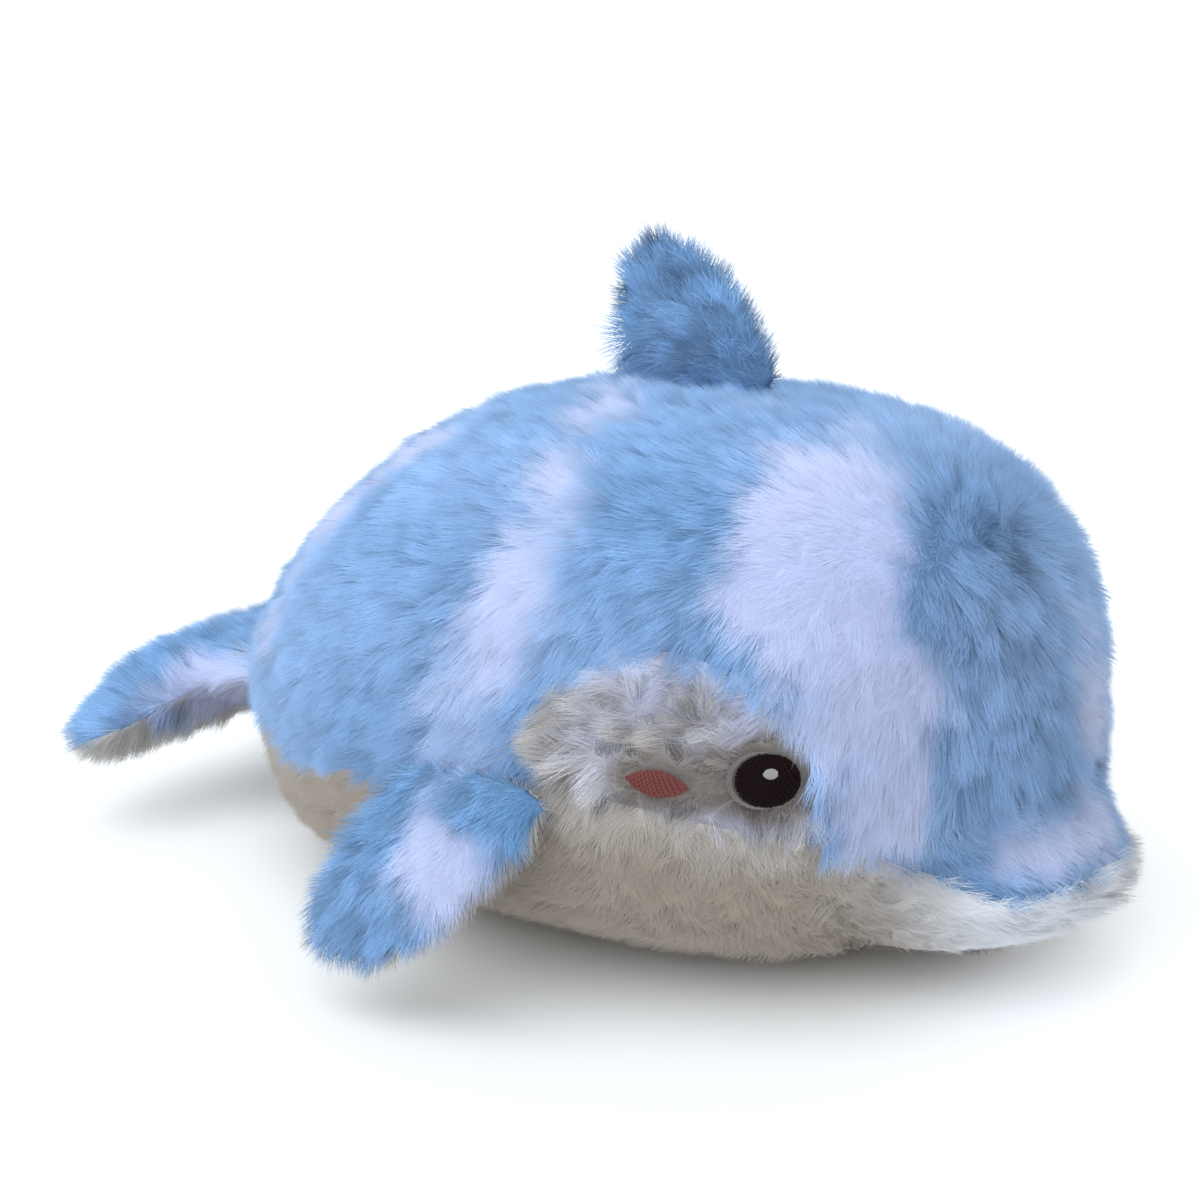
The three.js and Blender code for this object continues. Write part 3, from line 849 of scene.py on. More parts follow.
def scatter(form, per_cm2, rng):
    """Evenly spread points of a form's surface, with their normals."""
    mesh = form.data
    mesh.calc_loop_triangles()
    count = len(mesh.loop_triangles)
    corners = np.empty(count * 3, np.int32)
    mesh.loop_triangles.foreach_get("vertices", corners)
    corners = corners.reshape(-1, 3)
    points, normals = points_of(mesh), normals_of(mesh)
    a, b, c = (points[corners[:, k]] for k in range(3))
    area = np.linalg.norm(np.cross(b - a, c - a), axis=1) / 2
    number = np.floor(area * per_cm2 * 1e4 + rng.random(count)).astype(int)
    face = np.repeat(np.arange(count), number)
    turn = np.arange(len(face)) - np.repeat(np.cumsum(number) - number, number)
    start = rng.random((count, 2))[face]
    u = (start[:, 0] + turn * SPREAD_STEPS[0]) % 1
    v = (start[:, 1] + turn * SPREAD_STEPS[1]) % 1
    over = u + v > 1
    u, v = np.where(over, 1 - u, u), np.where(over, 1 - v, v)
    shares = np.stack([1 - u - v, u, v], axis=1)
    corner = corners[face]
    root = sum(points[corner[:, k]] * shares[:, k:k + 1] for k in range(3))
    normal = sum(normals[corner[:, k]] * shares[:, k:k + 1] for k in range(3))
    return root, unit(normal)


def combed(root, normal, flow, length, lean, ruffle, tufting, rng):
    """Leans strands from their roots along the flow, and draws them into tufts.

    ruffle is how far, in radians, the tufts of a place turn off the flow, and tufting is how
    many times harder than elsewhere the tips draw together.
    """
    pile = bpy.context.scene.dolphin_pile
    count = len(root)
    per_tuft = pile.per_cm2 * pile.clump_spacing ** 2 * 1e4
    centres = rng.choice(count, max(1, int(count / per_tuft)))
    tree = KDTree(len(centres))
    for index, centre in enumerate(centres):
        tree.insert(root[centre], index)
    tree.balance()
    tuft = np.array([tree.find(place)[1] for place in root.tolist()])
    tuft_turn = rng.normal(0, TUFT_SPREAD["turn"], len(centres))
    tuft_length = rng.normal(1, TUFT_SPREAD["length"], len(centres))
    tuft_tone = rng.normal(0, TUFT_SPREAD["tone"], len(centres))
    flow = flow - normal * np.sum(flow * normal, axis=1, keepdims=True)
    combing = np.clip(np.linalg.norm(flow, axis=1) / 0.7, 0, 1)
    lean = lean * (0.92 + 0.08 * combing)
    ruffle = ruffle + 0.9 * (1 - combing)
    flow = unit(flow)
    turn = 0.5 * lattice_noise(root, 0.035, 21) + tuft_turn[tuft] * (1 + 3 * ruffle)
    turn = turn + rng.normal(0, 1, count) * (STRAND_SPREAD["turn"] + 0.6 * ruffle)
    across = np.cross(normal, flow)
    flow = flow * np.cos(turn)[:, None] + across * np.sin(turn)[:, None]
    uneven = 0.14 + 0.30 * np.minimum(ruffle, 0.6)
    lean = lean + uneven * lattice_noise(root, 0.013, 22)
    lean = lean + rng.normal(0, STRAND_SPREAD["lean"], count)
    own = np.clip(rng.normal(1, STRAND_SPREAD["length"], count), 0.6, 1.3)
    length = length * tuft_length[tuft] * own
    height = (length * np.cos(lean))[:, None]
    reach = (length * np.sin(lean))[:, None]
    droop = (length * 0.10 * (1 - np.abs(normal[:, 2])))[:, None] * np.array([0, 0, -1.0])
    tip = root + normal * height + flow * reach + droop
    home = centres[tuft]
    target = tip[home] + 0.35 * (root - root[home])
    own = rng.normal(1, STRAND_SPREAD["pull"], count)
    pull = np.clip(pile.clump_pull * tufting * own, 0.05, 0.85)
    pull *= np.clip(length / TUFT_LENGTH, 0, 1)
    near = np.linalg.norm(root - root[home], axis=1) < TUFT_REACH
    pull = np.where(near, pull, 0)
    tip = mix(tip, target, pull)
    low = GROUND_CLEAR * (1 + rng.random(count))
    tip[:, 2] = np.maximum(tip[:, 2], low)
    width = pile.width * np.clip(rng.normal(1, STRAND_SPREAD["width"], count), 0.5, 1.6)
    tone = np.clip(tuft_tone[tuft] + rng.normal(0, STRAND_SPREAD["tone"], count), -2, 2)
    return {
        "root": root - normal * ROOT_BURY, "tip": tip, "normal": normal,
        "width": width, "tone": tone,
    }


def chosen(strands, keep):
    return {name: values[keep] for name, values in strands.items()}


def strand_piece(name, strands, material):
    """Closed slender cones from root to tip, each with its own cell of the colour map.

    The skins under them cast the shadows: fine pile lets light through, and solid cones don't.
    """
    count = len(strands["root"])
    axis = unit(strands["tip"] - strands["root"])
    side = unit(np.cross(axis, strands["normal"]))
    rise = np.cross(axis, side)
    points = np.empty((count, STRAND_POINTS, 3))
    points[:, -1] = strands["tip"]
    half = strands["width"][:, None] / 2
    for k in range(RING_SIDES):
        angle = 2 * math.pi * (k + 0.25) / RING_SIDES
        ring = side * math.cos(angle) + rise * math.sin(angle)
        points[:, k] = strands["root"] + ring * half
    points[:, :, 2] = np.maximum(points[:, :, 2], GROUND_CLEAR / 2)
    faces, cells = [(2, 1, 0)], [(0.0, 0.0), (1.0, 0.0), (0.5, CELL_BASE / 2)]
    for k in range(RING_SIDES):
        left, right = k / RING_SIDES, (k + 1) / RING_SIDES
        faces.append((k, (k + 1) % RING_SIDES, RING_SIDES))
        cells += [(left, CELL_BASE), (right, CELL_BASE), ((left + right) / 2, 1.0)]
    corners = np.array(faces)[None] + np.arange(count)[:, None, None] * STRAND_POINTS
    mesh = bpy.data.meshes.new(name)
    mesh.vertices.add(count * STRAND_POINTS)
    mesh.vertices.foreach_set("co", points.astype(np.float32).ravel())
    mesh.loops.add(count * STRAND_FACES * 3)
    mesh.loops.foreach_set("vertex_index", corners.astype(np.int32).ravel())
    mesh.polygons.add(count * STRAND_FACES)
    starts = np.arange(0, count * STRAND_FACES * 3, 3, dtype=np.int32)
    mesh.polygons.foreach_set("loop_start", starts)
    mesh.update(calc_edges=True)
    mesh.shade_smooth()
    for layer in ("dye", "depth"):
        set_attribute(mesh, layer, np.repeat(strands[layer], STRAND_POINTS))
    # White strands get less painted root shade and tuft tone; along carries the painted root shade,
    # full at the root and none at the tip
    calm = WHITE_CALM * strands["dye"]
    set_attribute(mesh, "tone", np.repeat(strands["tone"] * (1 - calm), STRAND_POINTS))
    along = np.ones((count, STRAND_POINTS))
    along[:, :RING_SIDES] = calm[:, None]
    set_attribute(mesh, "along", along.ravel())
    map_cells(mesh, strands, np.array(cells))
    normals = np.repeat(strands["normal"], STRAND_POINTS, axis=0)
    mesh.normals_split_custom_set_from_vertices(normals)
    mesh.materials.append(material)
    piece = new_piece(name, mesh)
    piece.visible_shadow = False
    return piece


def map_cells(mesh, strands, cells):
    """Lays each strand into its own cell of the colour map, beside others of like colour."""
    count = len(strands["root"])
    depth = np.round(strands["depth"] * DEPTH_LEVELS)
    dye = np.round(strands["dye"] * DYE_LEVELS)
    order = np.lexsort((strands["tone"], depth, dye))
    rank = np.empty(count, int)
    rank[order] = np.arange(count)
    grid = math.ceil(math.sqrt(count))
    column, row = rank % grid, rank // grid
    cells = CELL_MARGIN + (1 - 2 * CELL_MARGIN) * cells
    places = np.repeat(cells[None], count, axis=0)
    flipped = row % 2 == 1
    places[flipped, :, 1] = 1 - places[flipped, :, 1]
    places[:, :, 0] += column[:, None]
    places[:, :, 1] += row[:, None]
    layer = mesh.uv_layers.new(name="OFBake")
    layer.data.foreach_set("uv", (places / grid).astype(np.float32).ravel())


# Body


BODY_NODES = (
    "body_stuffing", "belly_panel", "back_panel_right", "back_panel_left",
    "eye_patch_right", "eye_patch_left",
)


def body_regions(points):
    """Points as (x, z), and whether each belongs to the belly panel or to an eye patch."""
    flat = side_view(points)
    below = flat[:, 1] < seam_height(flat[:, 0])
    patch = inside_outline(flat, PATCH_CURVE) & ~below
    return flat, below, patch


def seam_nearness(points):
    """1 on the body's seams, falling to 0 a few millimetres beside them."""
    flat, below, _ = body_regions(points)
    near = distance_to_chain(flat, SEAM_CURVE)
    outline = np.where(below, 1.0, distance_to_chain(flat, PATCH_CURVE))
    back = np.where(points[:, 2] > EQUATOR, np.abs(points[:, 1]), 1.0)
    seams = 1 - smoothstep(0.003, 0.009, np.minimum(near, outline))
    ridge = 0.35 * (1 - smoothstep(0.002, 0.006, back))
    return np.maximum(seams, ridge)


def pressed_nearness(points):
    """1 where the pile is pressed around the stitching, falling to 0 beside it."""
    flat = side_view(points)
    line = np.array([PRESSED_FROM, PRESSED_TO])
    band = 1 - smoothstep(0.005, 0.013, distance_to_chain(flat, line))
    ahead = (flat[:, 0] - EYE["x"]) / forward_share(EYE) / EYE["length"]
    around = np.hypot(ahead, (flat[:, 1] - EYE["z"]) / EYE["height"])
    return np.maximum(band, 1 - smoothstep(1.35, 1.75, around))


def body_depth(points, pressed):
    """Share of the seam depth that each point is drawn in by.

    It is less under the belly, on the head, on the cheeks and where the pile is pressed.
    """
    x, z = side_view(points).T
    low = 1 - smoothstep(0.020, 0.070, z)
    head = smoothstep(0.060, 0.120, x) * smoothstep(0.100, 0.150, z)
    cheeks = smoothstep(0.040, 0.055, x) * (1 - smoothstep(0.118, 0.130, x))
    cheeks = cheeks * smoothstep(0.058, 0.070, z) * (1 - smoothstep(0.090, 0.105, z))
    even = np.maximum(0.8 * pressed, 0.7 * cheeks)
    return np.minimum(1 - even, 1 - 0.75 * np.maximum(low, 0.7 * head))


def body_flow(points, below, patch):
    """Way that the pile is combed: back and down the flanks, down over the forehead."""
    x, z = side_view(points).T
    side = points[:, 1] / np.hypot(points[:, 1], 0.012)

    def way(ahead, out, up):
        return np.stack([np.full(len(x), ahead), out * side, np.full(len(x), up)], axis=1)

    front = x + 0.014 * lattice_noise(points, 0.040, 31)
    forehead = smoothstep(-0.030, 0.110, front) * (1 - smoothstep(0.140, 0.185, z))
    beak = smoothstep(0.140, 0.160, x) * (1 - smoothstep(0.075, 0.095, z))
    flow = mix(way(-0.85, 0.3, -0.5), way(-0.30, 0.45, -0.85), forehead)
    flow = mix(flow, way(0.9, 0.3, -0.1), beak)
    belly = mix(way(-0.7, 0.1, -0.45), way(0.1, 0.3, -0.60), smoothstep(0.020, 0.090, front))
    belly = mix(belly, way(0.9, 0.4, 0.25), smoothstep(0.080, 0.175, front))
    flow = np.where(below[:, None], belly, flow)
    level = np.interp(x, (PRESSED_FROM[0], PRESSED_TO[0]), (PRESSED_FROM[1], PRESSED_TO[1]))
    above = smoothstep(-0.008, 0.008, z - level)
    patch_flow = mix(way(-0.55, 0.0, -0.70), way(-0.85, 0.0, 0.30), above)
    return np.where(patch[:, None], patch_flow, flow)


def clear_of_roots(points):
    """Whether points of the body lie clear of the limbs' sewn roots."""
    clear = np.ones(len(points), bool)
    spans = {
        "dorsal_fin": ((1, 0, 0), 0.028, 0.005),
        "flipper_right": ((1, 0, 0), 0.030, 0.006),
        "flipper_left": ((1, 0, 0), 0.030, 0.006),
        "tail": ((0, 1, 0), 0.044, 0.012),
    }
    for limb, (axis, half, radius) in spans.items():
        reach = Vector(axis) * half
        line = np.array([HINGES[limb] - reach, HINGES[limb] + reach])
        clear &= distance_to_chain(points, line) > radius
    return clear


def over_flippers(points):
    """1 just over the flippers' roots, where the body's pile hangs over, falling to 0 around."""
    above = points - np.array(HINGES["flipper_right"]) - (0, 0, 0.010)
    above[:, 1] = 0
    chain = np.array([(-0.026, 0, 0), (0.026, 0, 0)])
    return 1 - smoothstep(0.006, 0.020, distance_to_chain(above, chain))


def patch_paleness_and_painted_light(root, over_seam):
    """Share of white in an eye patch: painted light on its upper part, a painted highlight where
    the pile puffs up over the seam, and more in some tufts.
    """
    z = root[:, 2]
    # Painted light: the upper part of the patch is paler where light falls on it
    lit_top = 0.25 * smoothstep(0.105, 0.122, z)
    # Painted highlight on the pile that puffs up just over the seam
    puffed_highlight = 0.45 * (1 - smoothstep(0.080, 0.089, z)) * smoothstep(0.0, 0.006, over_seam)
    tufts = 0.55 * lattice_noise(root, 0.013, 41)
    return np.clip(0.08 + lit_top + puffed_highlight + tufts, 0, 1)


def stand_in(node):
    """Hides the CAD node that a soft piece stands for."""
    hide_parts(node)


def body_panel(skin, node, source, dye_at, cuts):
    """Cuts a skin of the body to one panel, by blocks and what is done with each."""
    for block, operation in cuts:
        cut(skin, block, operation)
    finish_skin(skin, source, dye_at)
    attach(skin, "body")
    stand_in(node)


class DOLPHIN_OT_body(bpy.types.Operator):
    """Make the stuffed body: its filling and the backing cloth of its five panels."""

    bl_idname = "dolphin.body"
    bl_label = "Stuffed Body"

    def execute(self, context):
        shape = context.scene.dolphin_shape
        form = fused_form("body_form", BODY_NODES, shape.body_voxel)
        points = points_of(form.data)
        pressed = pressed_nearness(points)
        stuffed(form, shape.body_sink, shape.body_plump,
                np.maximum(seam_nearness(points), pressed), body_depth(points, pressed))
        room = np.ones(len(form.data.vertices))
        filling = filling_of(form, "body_filling", room)
        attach(filling, "body")
        stand_in("body_stuffing")
        middle = np.array([BODY_MIDDLE, 0, 0])
        across = ((1, 0, 0), (0, 0, 1), (0, 1, 0))
        far = CUT_REACH
        outline = [(-far, SEAM_CURVE[0, 1]), *map(tuple, SEAM_CURVE), (far, SEAM_CURVE[-1, 1]),
                   (far, -far), (-far, -far)]
        below = prism("seam_cut", outline, across, middle - (0, far / 2, 0), far)
        body_panel(skin_of(form, "belly_skin", room), "belly_panel", "cream", belly_dye,
                   [(below, "INTERSECT")])
        upper = skin_of(form, "upper_skin", room)
        cut(upper, below, "DIFFERENCE")
        square = [(-far, -far), (far, -far), (far, far), (-far, far)]
        for name, side in SIDES.items():
            patch_cut = prism("patch_cut", PATCH_CURVE, across, middle, side * far)
            half = prism("half_cut", square, across, middle, side * far)
            body_panel(copied(upper, f"eye_patch_skin_{name}"), f"eye_patch_{name}", "patch",
                       patch_pale_and_pressed_shade, [(patch_cut, "INTERSECT")])
            body_panel(copied(upper, f"back_skin_{name}"), f"back_panel_{name}", "dyed",
                       body_dye, [(half, "INTERSECT"), (patch_cut, "DIFFERENCE")])
            remove(patch_cut)
            remove(half)
        remove(upper)
        remove(below)
        # The pile grows on this form, which is removed after that
        form.hide_render = True
        return {"FINISHED"}


class DOLPHIN_OT_body_pile(bpy.types.Operator):
    """Grow the body's pile: dyed back, cream belly and eye patches."""

    bl_idname = "dolphin.body_pile"
    bl_label = "Body Pile"

    def execute(self, context):
        pile = context.scene.dolphin_pile
        rng = np.random.default_rng(pile.seed)
        form = bpy.data.objects["body_form"]
        root, normal = scatter(form, pile.per_cm2, rng)
        flat, below, patch = body_regions(root)
        under = smoothstep(0.55, 0.9, -normal[:, 2])
        spare = np.where(below, 0.25 + 0.65 * under, 0.0)
        keep = clear_of_roots(root) & (rng.random(len(root)) > spare)
        keep &= ~under_stitching(flat)
        root, normal, flat, below, patch, under = (
            values[keep] for values in (root, normal, flat, below, patch, under))
        pressed = pressed_nearness(root)
        front = smoothstep(0.120, 0.150, flat[:, 0])
        over_seam = root[:, 2] - seam_height(flat[:, 0])
        lip = front * (1 - smoothstep(0.006, 0.026, np.abs(over_seam)))
        # Length, shorter at the edges of the eye patches and longer over the flippers
        length = np.where(below, pile.belly_length, pile.back_length)
        length = np.where(patch, pile.patch_length, length)
        lip_length = np.where(below, pile.jaw_length, pile.beak_length)
        length = length + (lip_length - length) * lip
        length = length + (pile.pressed_length - length) * pressed * (patch | below)
        edge = 0.55 + 0.45 * smoothstep(0.0, 0.010, distance_to_chain(flat, PATCH_CURVE))
        hem = 0.6 + 0.4 * smoothstep(0.0, 0.010, over_seam)
        length = length * np.where(patch, edge * hem, 1.0)
        length = length * (1 + 0.45 * over_flippers(root)) * (1 - 0.35 * under)
        # Lean from the skin's normal, in radians
        lean = np.where(below, 1.10 - 0.30 * lip, 0.98 - 0.10 * front)
        lean = np.where(patch, 0.75, lean)
        lean = lean + (1.25 - lean) * np.maximum(pressed * patch, under)
        ruffle = 0.5 * (patch * (1 - pressed))
        tufting = np.where(patch, 2.0, 1.0)
        flow = body_flow(root, below, patch)
        strands = combed(root, normal, flow, length, lean, ruffle, tufting, rng)
        plain = np.where(patch, TONES["patch"], TONES["dyed"])
        strands["tone"] *= np.where(below, TONES["cream"], plain)
        dye, depth = body_dye(root)
        # Eye patch pile gets painted light on its upper part and over the seam, and its depth is
        # the painted shade of pressed pile
        paleness = np.where(patch, patch_paleness_and_painted_light(root, over_seam), belly_paleness(root))
        strands["dye"] = np.where(below | patch, paleness, dye)
        strands["depth"] = np.where(below | patch, pressed * patch, depth)
        station = flat[:, 0] / HALF_LENGTH
        rear, head = station < ZONE_EDGES[0], station >= ZONE_EDGES[1]
        zones = {"rear": rear, "middle": ~rear & ~head, "head": head}
        for name, side in SIDES.items():
            here = root[:, 1] * side >= 0
            back = here & ~below & ~patch
            self.grow(f"belly_pile_{name}", strands, here & below, "cream")
            self.grow(f"eye_patch_pile_{name}", strands, here & patch, "patch")
            for zone, inside in zones.items():
                self.grow(f"back_pile_{name}_{zone}", strands, back & inside, "dyed")
        remove(form)
        return {"FINISHED"}

    def grow(self, name, strands, keep, source):
        piece = strand_piece(name, chosen(strands, keep), pile_material(source))
        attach(piece, "body")


# Limbs


def limb_axes(limb):
    """Directions along a limb's seam, out along its span, and of its upper or right face."""
    if limb == "dorsal_fin":
        return (1, 0, 0), (0, 0, 1), (0, -1, 0)
    if limb == "tail":
        level, down = math.cos(TAIL_DROOP), math.sin(TAIL_DROOP)
        return (0, 1, 0), (-level, 0, -down), (-down, 0, level)
    side = SIDES[limb.split("_")[1]]
    level, down = math.cos(FLIPPER_DROOP), math.sin(FLIPPER_DROOP)
    return (1, 0, 0), (0, side * level, -down), (0, side * down, level)


def limb_local(points, limb):
    """Places along a limb's seam, along its span, and from its middle towards its upper face."""
    seam, span, face = (np.array(axis) for axis in limb_axes(limb))
    from_hinge = points - np.array(HINGES[limb])
    local = np.stack([from_hinge @ seam, from_hinge @ span, from_hinge @ face], axis=1)
    if limb == "tail":
        local[:, 2] += FLUKE_SAG * (local[:, 0] / FLUKE_HALF_SPAN) ** 2
    return local


def middle_cut(limb):
    """Block on the upper side of a limb's middle, which sags towards the tips of the tail."""
    seam, span, face = limb_axes(limb)
    sag = FLUKE_SAG if limb == "tail" else 0.0
    shares = np.linspace(-2, 2, 25)
    line = [(share * FLUKE_HALF_SPAN, -sag * share ** 2) for share in shares]
    outline = [*line, (line[-1][0], CUT_REACH), (line[0][0], CUT_REACH)]
    origin = np.array(HINGES[limb]) - np.array(span) * CUT_REACH / 2
    return prism(f"{limb}_middle_cut", outline, (seam, face, span), origin, CUT_REACH)


def limb_flow(limb, local):
    """Way that a limb's pile is combed: out along it, and backwards or to the tail's tips."""
    seam, span, _ = (np.array(axis, float) for axis in limb_axes(limb))
    if limb == "tail":
        return span + np.outer(0.8 * np.sign(local[:, 0]), seam)
    return np.tile(span + (-0.35, 0, 0), (len(local), 1))


def limb_strands(limb, form, length, comb, dye_at, rng):
    """A limb's combed and dyed strands, and whether each grows on the upper panel."""
    root, normal = scatter(form, bpy.context.scene.dolphin_pile.per_cm2, rng)
    local = limb_local(root, limb)
    keep = local[:, 1] > -ROOT_OVERLAP
    root, normal, local = root[keep], normal[keep], local[keep]
    flow = limb_flow(limb, local)
    length = length * (0.5 + 0.5 * smoothstep(-0.006, 0.008, local[:, 1]))
    if limb == "dorsal_fin":
        # Long pile droops over the rear of the fin's foot, so that its edge drops straight down
        behind = smoothstep(0.1, 0.8, -local[:, 0] / np.abs(local[:, 0]).max())
        foot = behind * (1 - smoothstep(0.006, 0.024, local[:, 1]))
        length = length * (1 + 0.7 * foot)
        flow = mix(flow, np.array([-0.4, 0.0, -1.0]), foot)
    lean, ruffle, tufting = (np.full(len(root), value) for value in comb)
    strands = combed(root, normal, flow, length, lean, ruffle, tufting, rng)
    upper = local[:, 2] >= 0
    if limb == "tail":
        upper = local[:, 2] >= -TAIL_OVERHANG * (1 - smoothstep(0.055, 0.085, np.abs(local[:, 0])))
    dyed = upper | (limb == "dorsal_fin")
    dye, depth = dye_at(root)
    strands["tone"] *= TONES.get(limb, TONES["limb"])
    strands["dye"] = np.where(dyed, dye, PLAIN_PALENESS)
    strands["depth"] = np.where(dyed, depth, 0.0)
    return strands, upper


def make_limb(limb, panels, length, comb, chains, deeper, seed):
    """Stuffed limb: filling, two skins and their pile, held at its sewn root while it swells.

    panels gives the pile of the upper and then the lower panel by their labels, comb the
    pile's lean, ruffle and tufting, chains its white blotches, and deeper how much deeper its
    blue is than the body's.
    """
    shape = bpy.context.scene.dolphin_shape
    stuffing = f"{limb}_stuffing"
    nodes = {label: f"{limb}_{label}_panel" for label in panels}
    form = fused_form(f"{limb}_form", [*nodes.values(), stuffing], shape.limb_voxel)
    local = limb_local(points_of(form.data), limb)
    thickness = np.abs(local[:, 2])
    seam = 1 - smoothstep(0.001, 0.004, thickness)
    sewn = np.maximum(seam, 1 - smoothstep(0.0, 0.008, local[:, 1]))
    stuffed(form, shape.limb_sink, shape.limb_plump, sewn,
            np.clip(0.5 * thickness / shape.limb_sink, 0.05, 1))
    room = 0.4 * np.abs(limb_local(points_of(form.data), limb)[:, 2])
    filling = filling_of(form, f"{limb}_filling", room)
    stand_in(stuffing)
    pieces = [filling]

    def dye_at(points):
        return blotch_cover(points, chains), np.clip(dye_depth(points) + deeper, 0, 1)

    strands, upper = limb_strands(limb, form, length, comb, dye_at, np.random.default_rng(seed))
    block = middle_cut(limb)
    for (label, source), above in zip(panels.items(), (True, False)):
        skin = skin_of(form, f"{limb}_skin_{label}", room)
        cut(skin, block, "INTERSECT" if above else "DIFFERENCE")
        finish_skin(skin, source, dye_at if source == "dyed" else plain_dye)
        stand_in(nodes[label])
        tuft = strand_piece(f"{limb}_pile_{label}", chosen(strands, upper == above),
                            pile_material(source))
        pieces += [skin, tuft]
    for piece in pieces:
        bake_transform(piece)
    remove(block)
    remove(form)


class DOLPHIN_OT_fin(bpy.types.Operator):
    """Make the stuffed back fin with its pile."""

    bl_idname = "dolphin.fin"
    bl_label = "Back Fin"

    def execute(self, context):
        pile = context.scene.dolphin_pile
        make_limb("dorsal_fin", {"right": "dyed", "left": "dyed"}, pile.fin_length,
                  comb=(0.58, 0.30, 0.4), chains=[], deeper=0.25, seed=pile.seed + 1)
        return {"FINISHED"}


class DOLPHIN_OT_flippers(bpy.types.Operator):
    """Make the two stuffed flippers with their pile."""

    bl_idname = "dolphin.flippers"
    bl_label = "Flippers"

    def execute(self, context):
        pile = context.scene.dolphin_pile
        for number, (name, side) in enumerate(SIDES.items()):
            blotch = [(x, side * y, z, radius) for x, y, z, radius in FLIPPER_BLOTCH]
            make_limb(f"flipper_{name}", {"top": "dyed", "under": "cream"}, pile.flipper_length,
                      comb=(0.76, 0.1, 0.5), chains=[blotch], deeper=0.50,
                      seed=pile.seed + 2 + number)
        return {"FINISHED"}


class DOLPHIN_OT_tail(bpy.types.Operator):
    """Make the stuffed tail and its fluke with their pile."""

    bl_idname = "dolphin.tail"
    bl_label = "Tail"

    def execute(self, context):
        pile = context.scene.dolphin_pile
        make_limb("tail", {"top": "dyed", "under": "cream"}, pile.tail_length,
                  comb=(0.88, 0.0, 0.5), chains=TAIL_BLOTCHES, deeper=0.3, seed=pile.seed + 5)
        return {"FINISHED"}


# Stitched face


def turned(stitch):
    """Cosine and sine of a stitched shape's tilt."""
    angle = math.radians(stitch["tilt"])
    return math.cos(angle), math.sin(angle)


def under_stitching(flat):
    """Whether (x, z) points of either flank lie under an eye, its rim or a cheek."""
    covered = np.zeros(len(flat), bool)
    for stitch, shift in ((EYE, 0.0), (EYE, RIM_SHIFT), (CHEEK, 0.0)):
        level, lift = turned(stitch)
        ahead = (flat[:, 0] - stitch["x"]) / forward_share(stitch) + shift
        above = flat[:, 1] - stitch["z"]
        along, up = ahead * level + above * lift, above * level - ahead * lift
        covered |= (along / stitch["length"]) ** 2 + (up / stitch["height"]) ** 2 < 0.95
    return covered


def forward_share(stitch):
    """How far ahead a step along the flank leads where a stitched shape lies."""
    step = 0.001
    x, z = stitch["x"], stitch["z"]
    slope = (flank(x + step, z) - flank(x - step, z)) / step / 2
    return 1 / math.sqrt(1 + float(slope) ** 2)


def on_flank(stitch, side, along, up, height):
    """Points at places along and up a stitched shape, at a height over the solids' surface."""
    level, lift = turned(stitch)
    x = stitch["x"] + (along * level - up * lift) * forward_share(stitch)
    z = stitch["z"] + along * lift + up * level
    return np.stack([x + BODY_MIDDLE, side * (flank(x, z) + height), z], axis=-1)


def rods(paths, radius, sides=6):
    """Vertices and faces of round threads along paths of points, closed at both ends."""
    count, steps = paths.shape[:2]
    along = np.gradient(paths, axis=1)
    along /= np.linalg.norm(along, axis=2, keepdims=True)
    side = np.cross(along, np.array([0.0, 1.0, 0.0]))
    side /= np.linalg.norm(side, axis=2, keepdims=True)
    rise = np.cross(along, side)
    taper = np.sqrt(np.clip(1 - np.linspace(-1, 1, steps + 2)[1:-1] ** 6, 0.05, 1))
    size = radius * taper[None, :, None]
    rings = []
    for k in range(sides):
        angle = 2 * math.pi * k / sides
        rings.append(paths + (side * math.cos(angle) + rise * math.sin(angle)) * size)
    points = np.stack(rings, axis=2).reshape(count, steps * sides, 3)
    head, foot = paths[:, 0] - along[:, 0] * radius, paths[:, -1] + along[:, -1] * radius
    points = np.concatenate([points, np.stack([head, foot], axis=1)], axis=1)
    first, last = steps * sides, steps * sides + 1
    faces = []
    for k in range(sides):
        after = (k + 1) % sides
        faces.append((first, after, k))
        for step in range(steps - 1):
            a, b = step * sides + k, step * sides + after
            faces.append((a, b, b + sides, a + sides))
        faces.append((last, (steps - 1) * sides + k, (steps - 1) * sides + after))
    per = points.shape[1]
    all_faces = [tuple(per * n + corner for corner in face) for n in range(count) for face in faces]
    return points.reshape(-1, 3), all_faces


def pad(stitch, side, outline, top, base=-0.0010, rings=5, spokes=36):
    """Low closed dome over an outline, which the threads lie on."""
    angles = np.linspace(0, 2 * math.pi, spokes, endpoint=False)
    edge_along, edge_up = outline(angles)
    points = [on_flank(stitch, side, np.zeros(1), np.zeros(1), np.array([top]))]
    for share in np.linspace(1 / rings, 1, rings):
        height = np.full(spokes, top * (1 - share ** 2))
        points.append(on_flank(stitch, side, edge_along * share, edge_up * share, height))
    points.append(on_flank(stitch, side, np.zeros(1), np.zeros(1), np.array([base])))
    points = np.concatenate(points)
    faces = []
    bottom = len(points) - 1
    outer = 1 + (rings - 1) * spokes
    for k in range(spokes):
        after = (k + 1) % spokes
        faces.append((0, 1 + k, 1 + after))
        for ring in range(rings - 1):
            a, b = 1 + ring * spokes + k, 1 + ring * spokes + after
            faces.append((a, a + spokes, b + spokes, b))
        faces.append((bottom, outer + after, outer + k))
    return points, faces


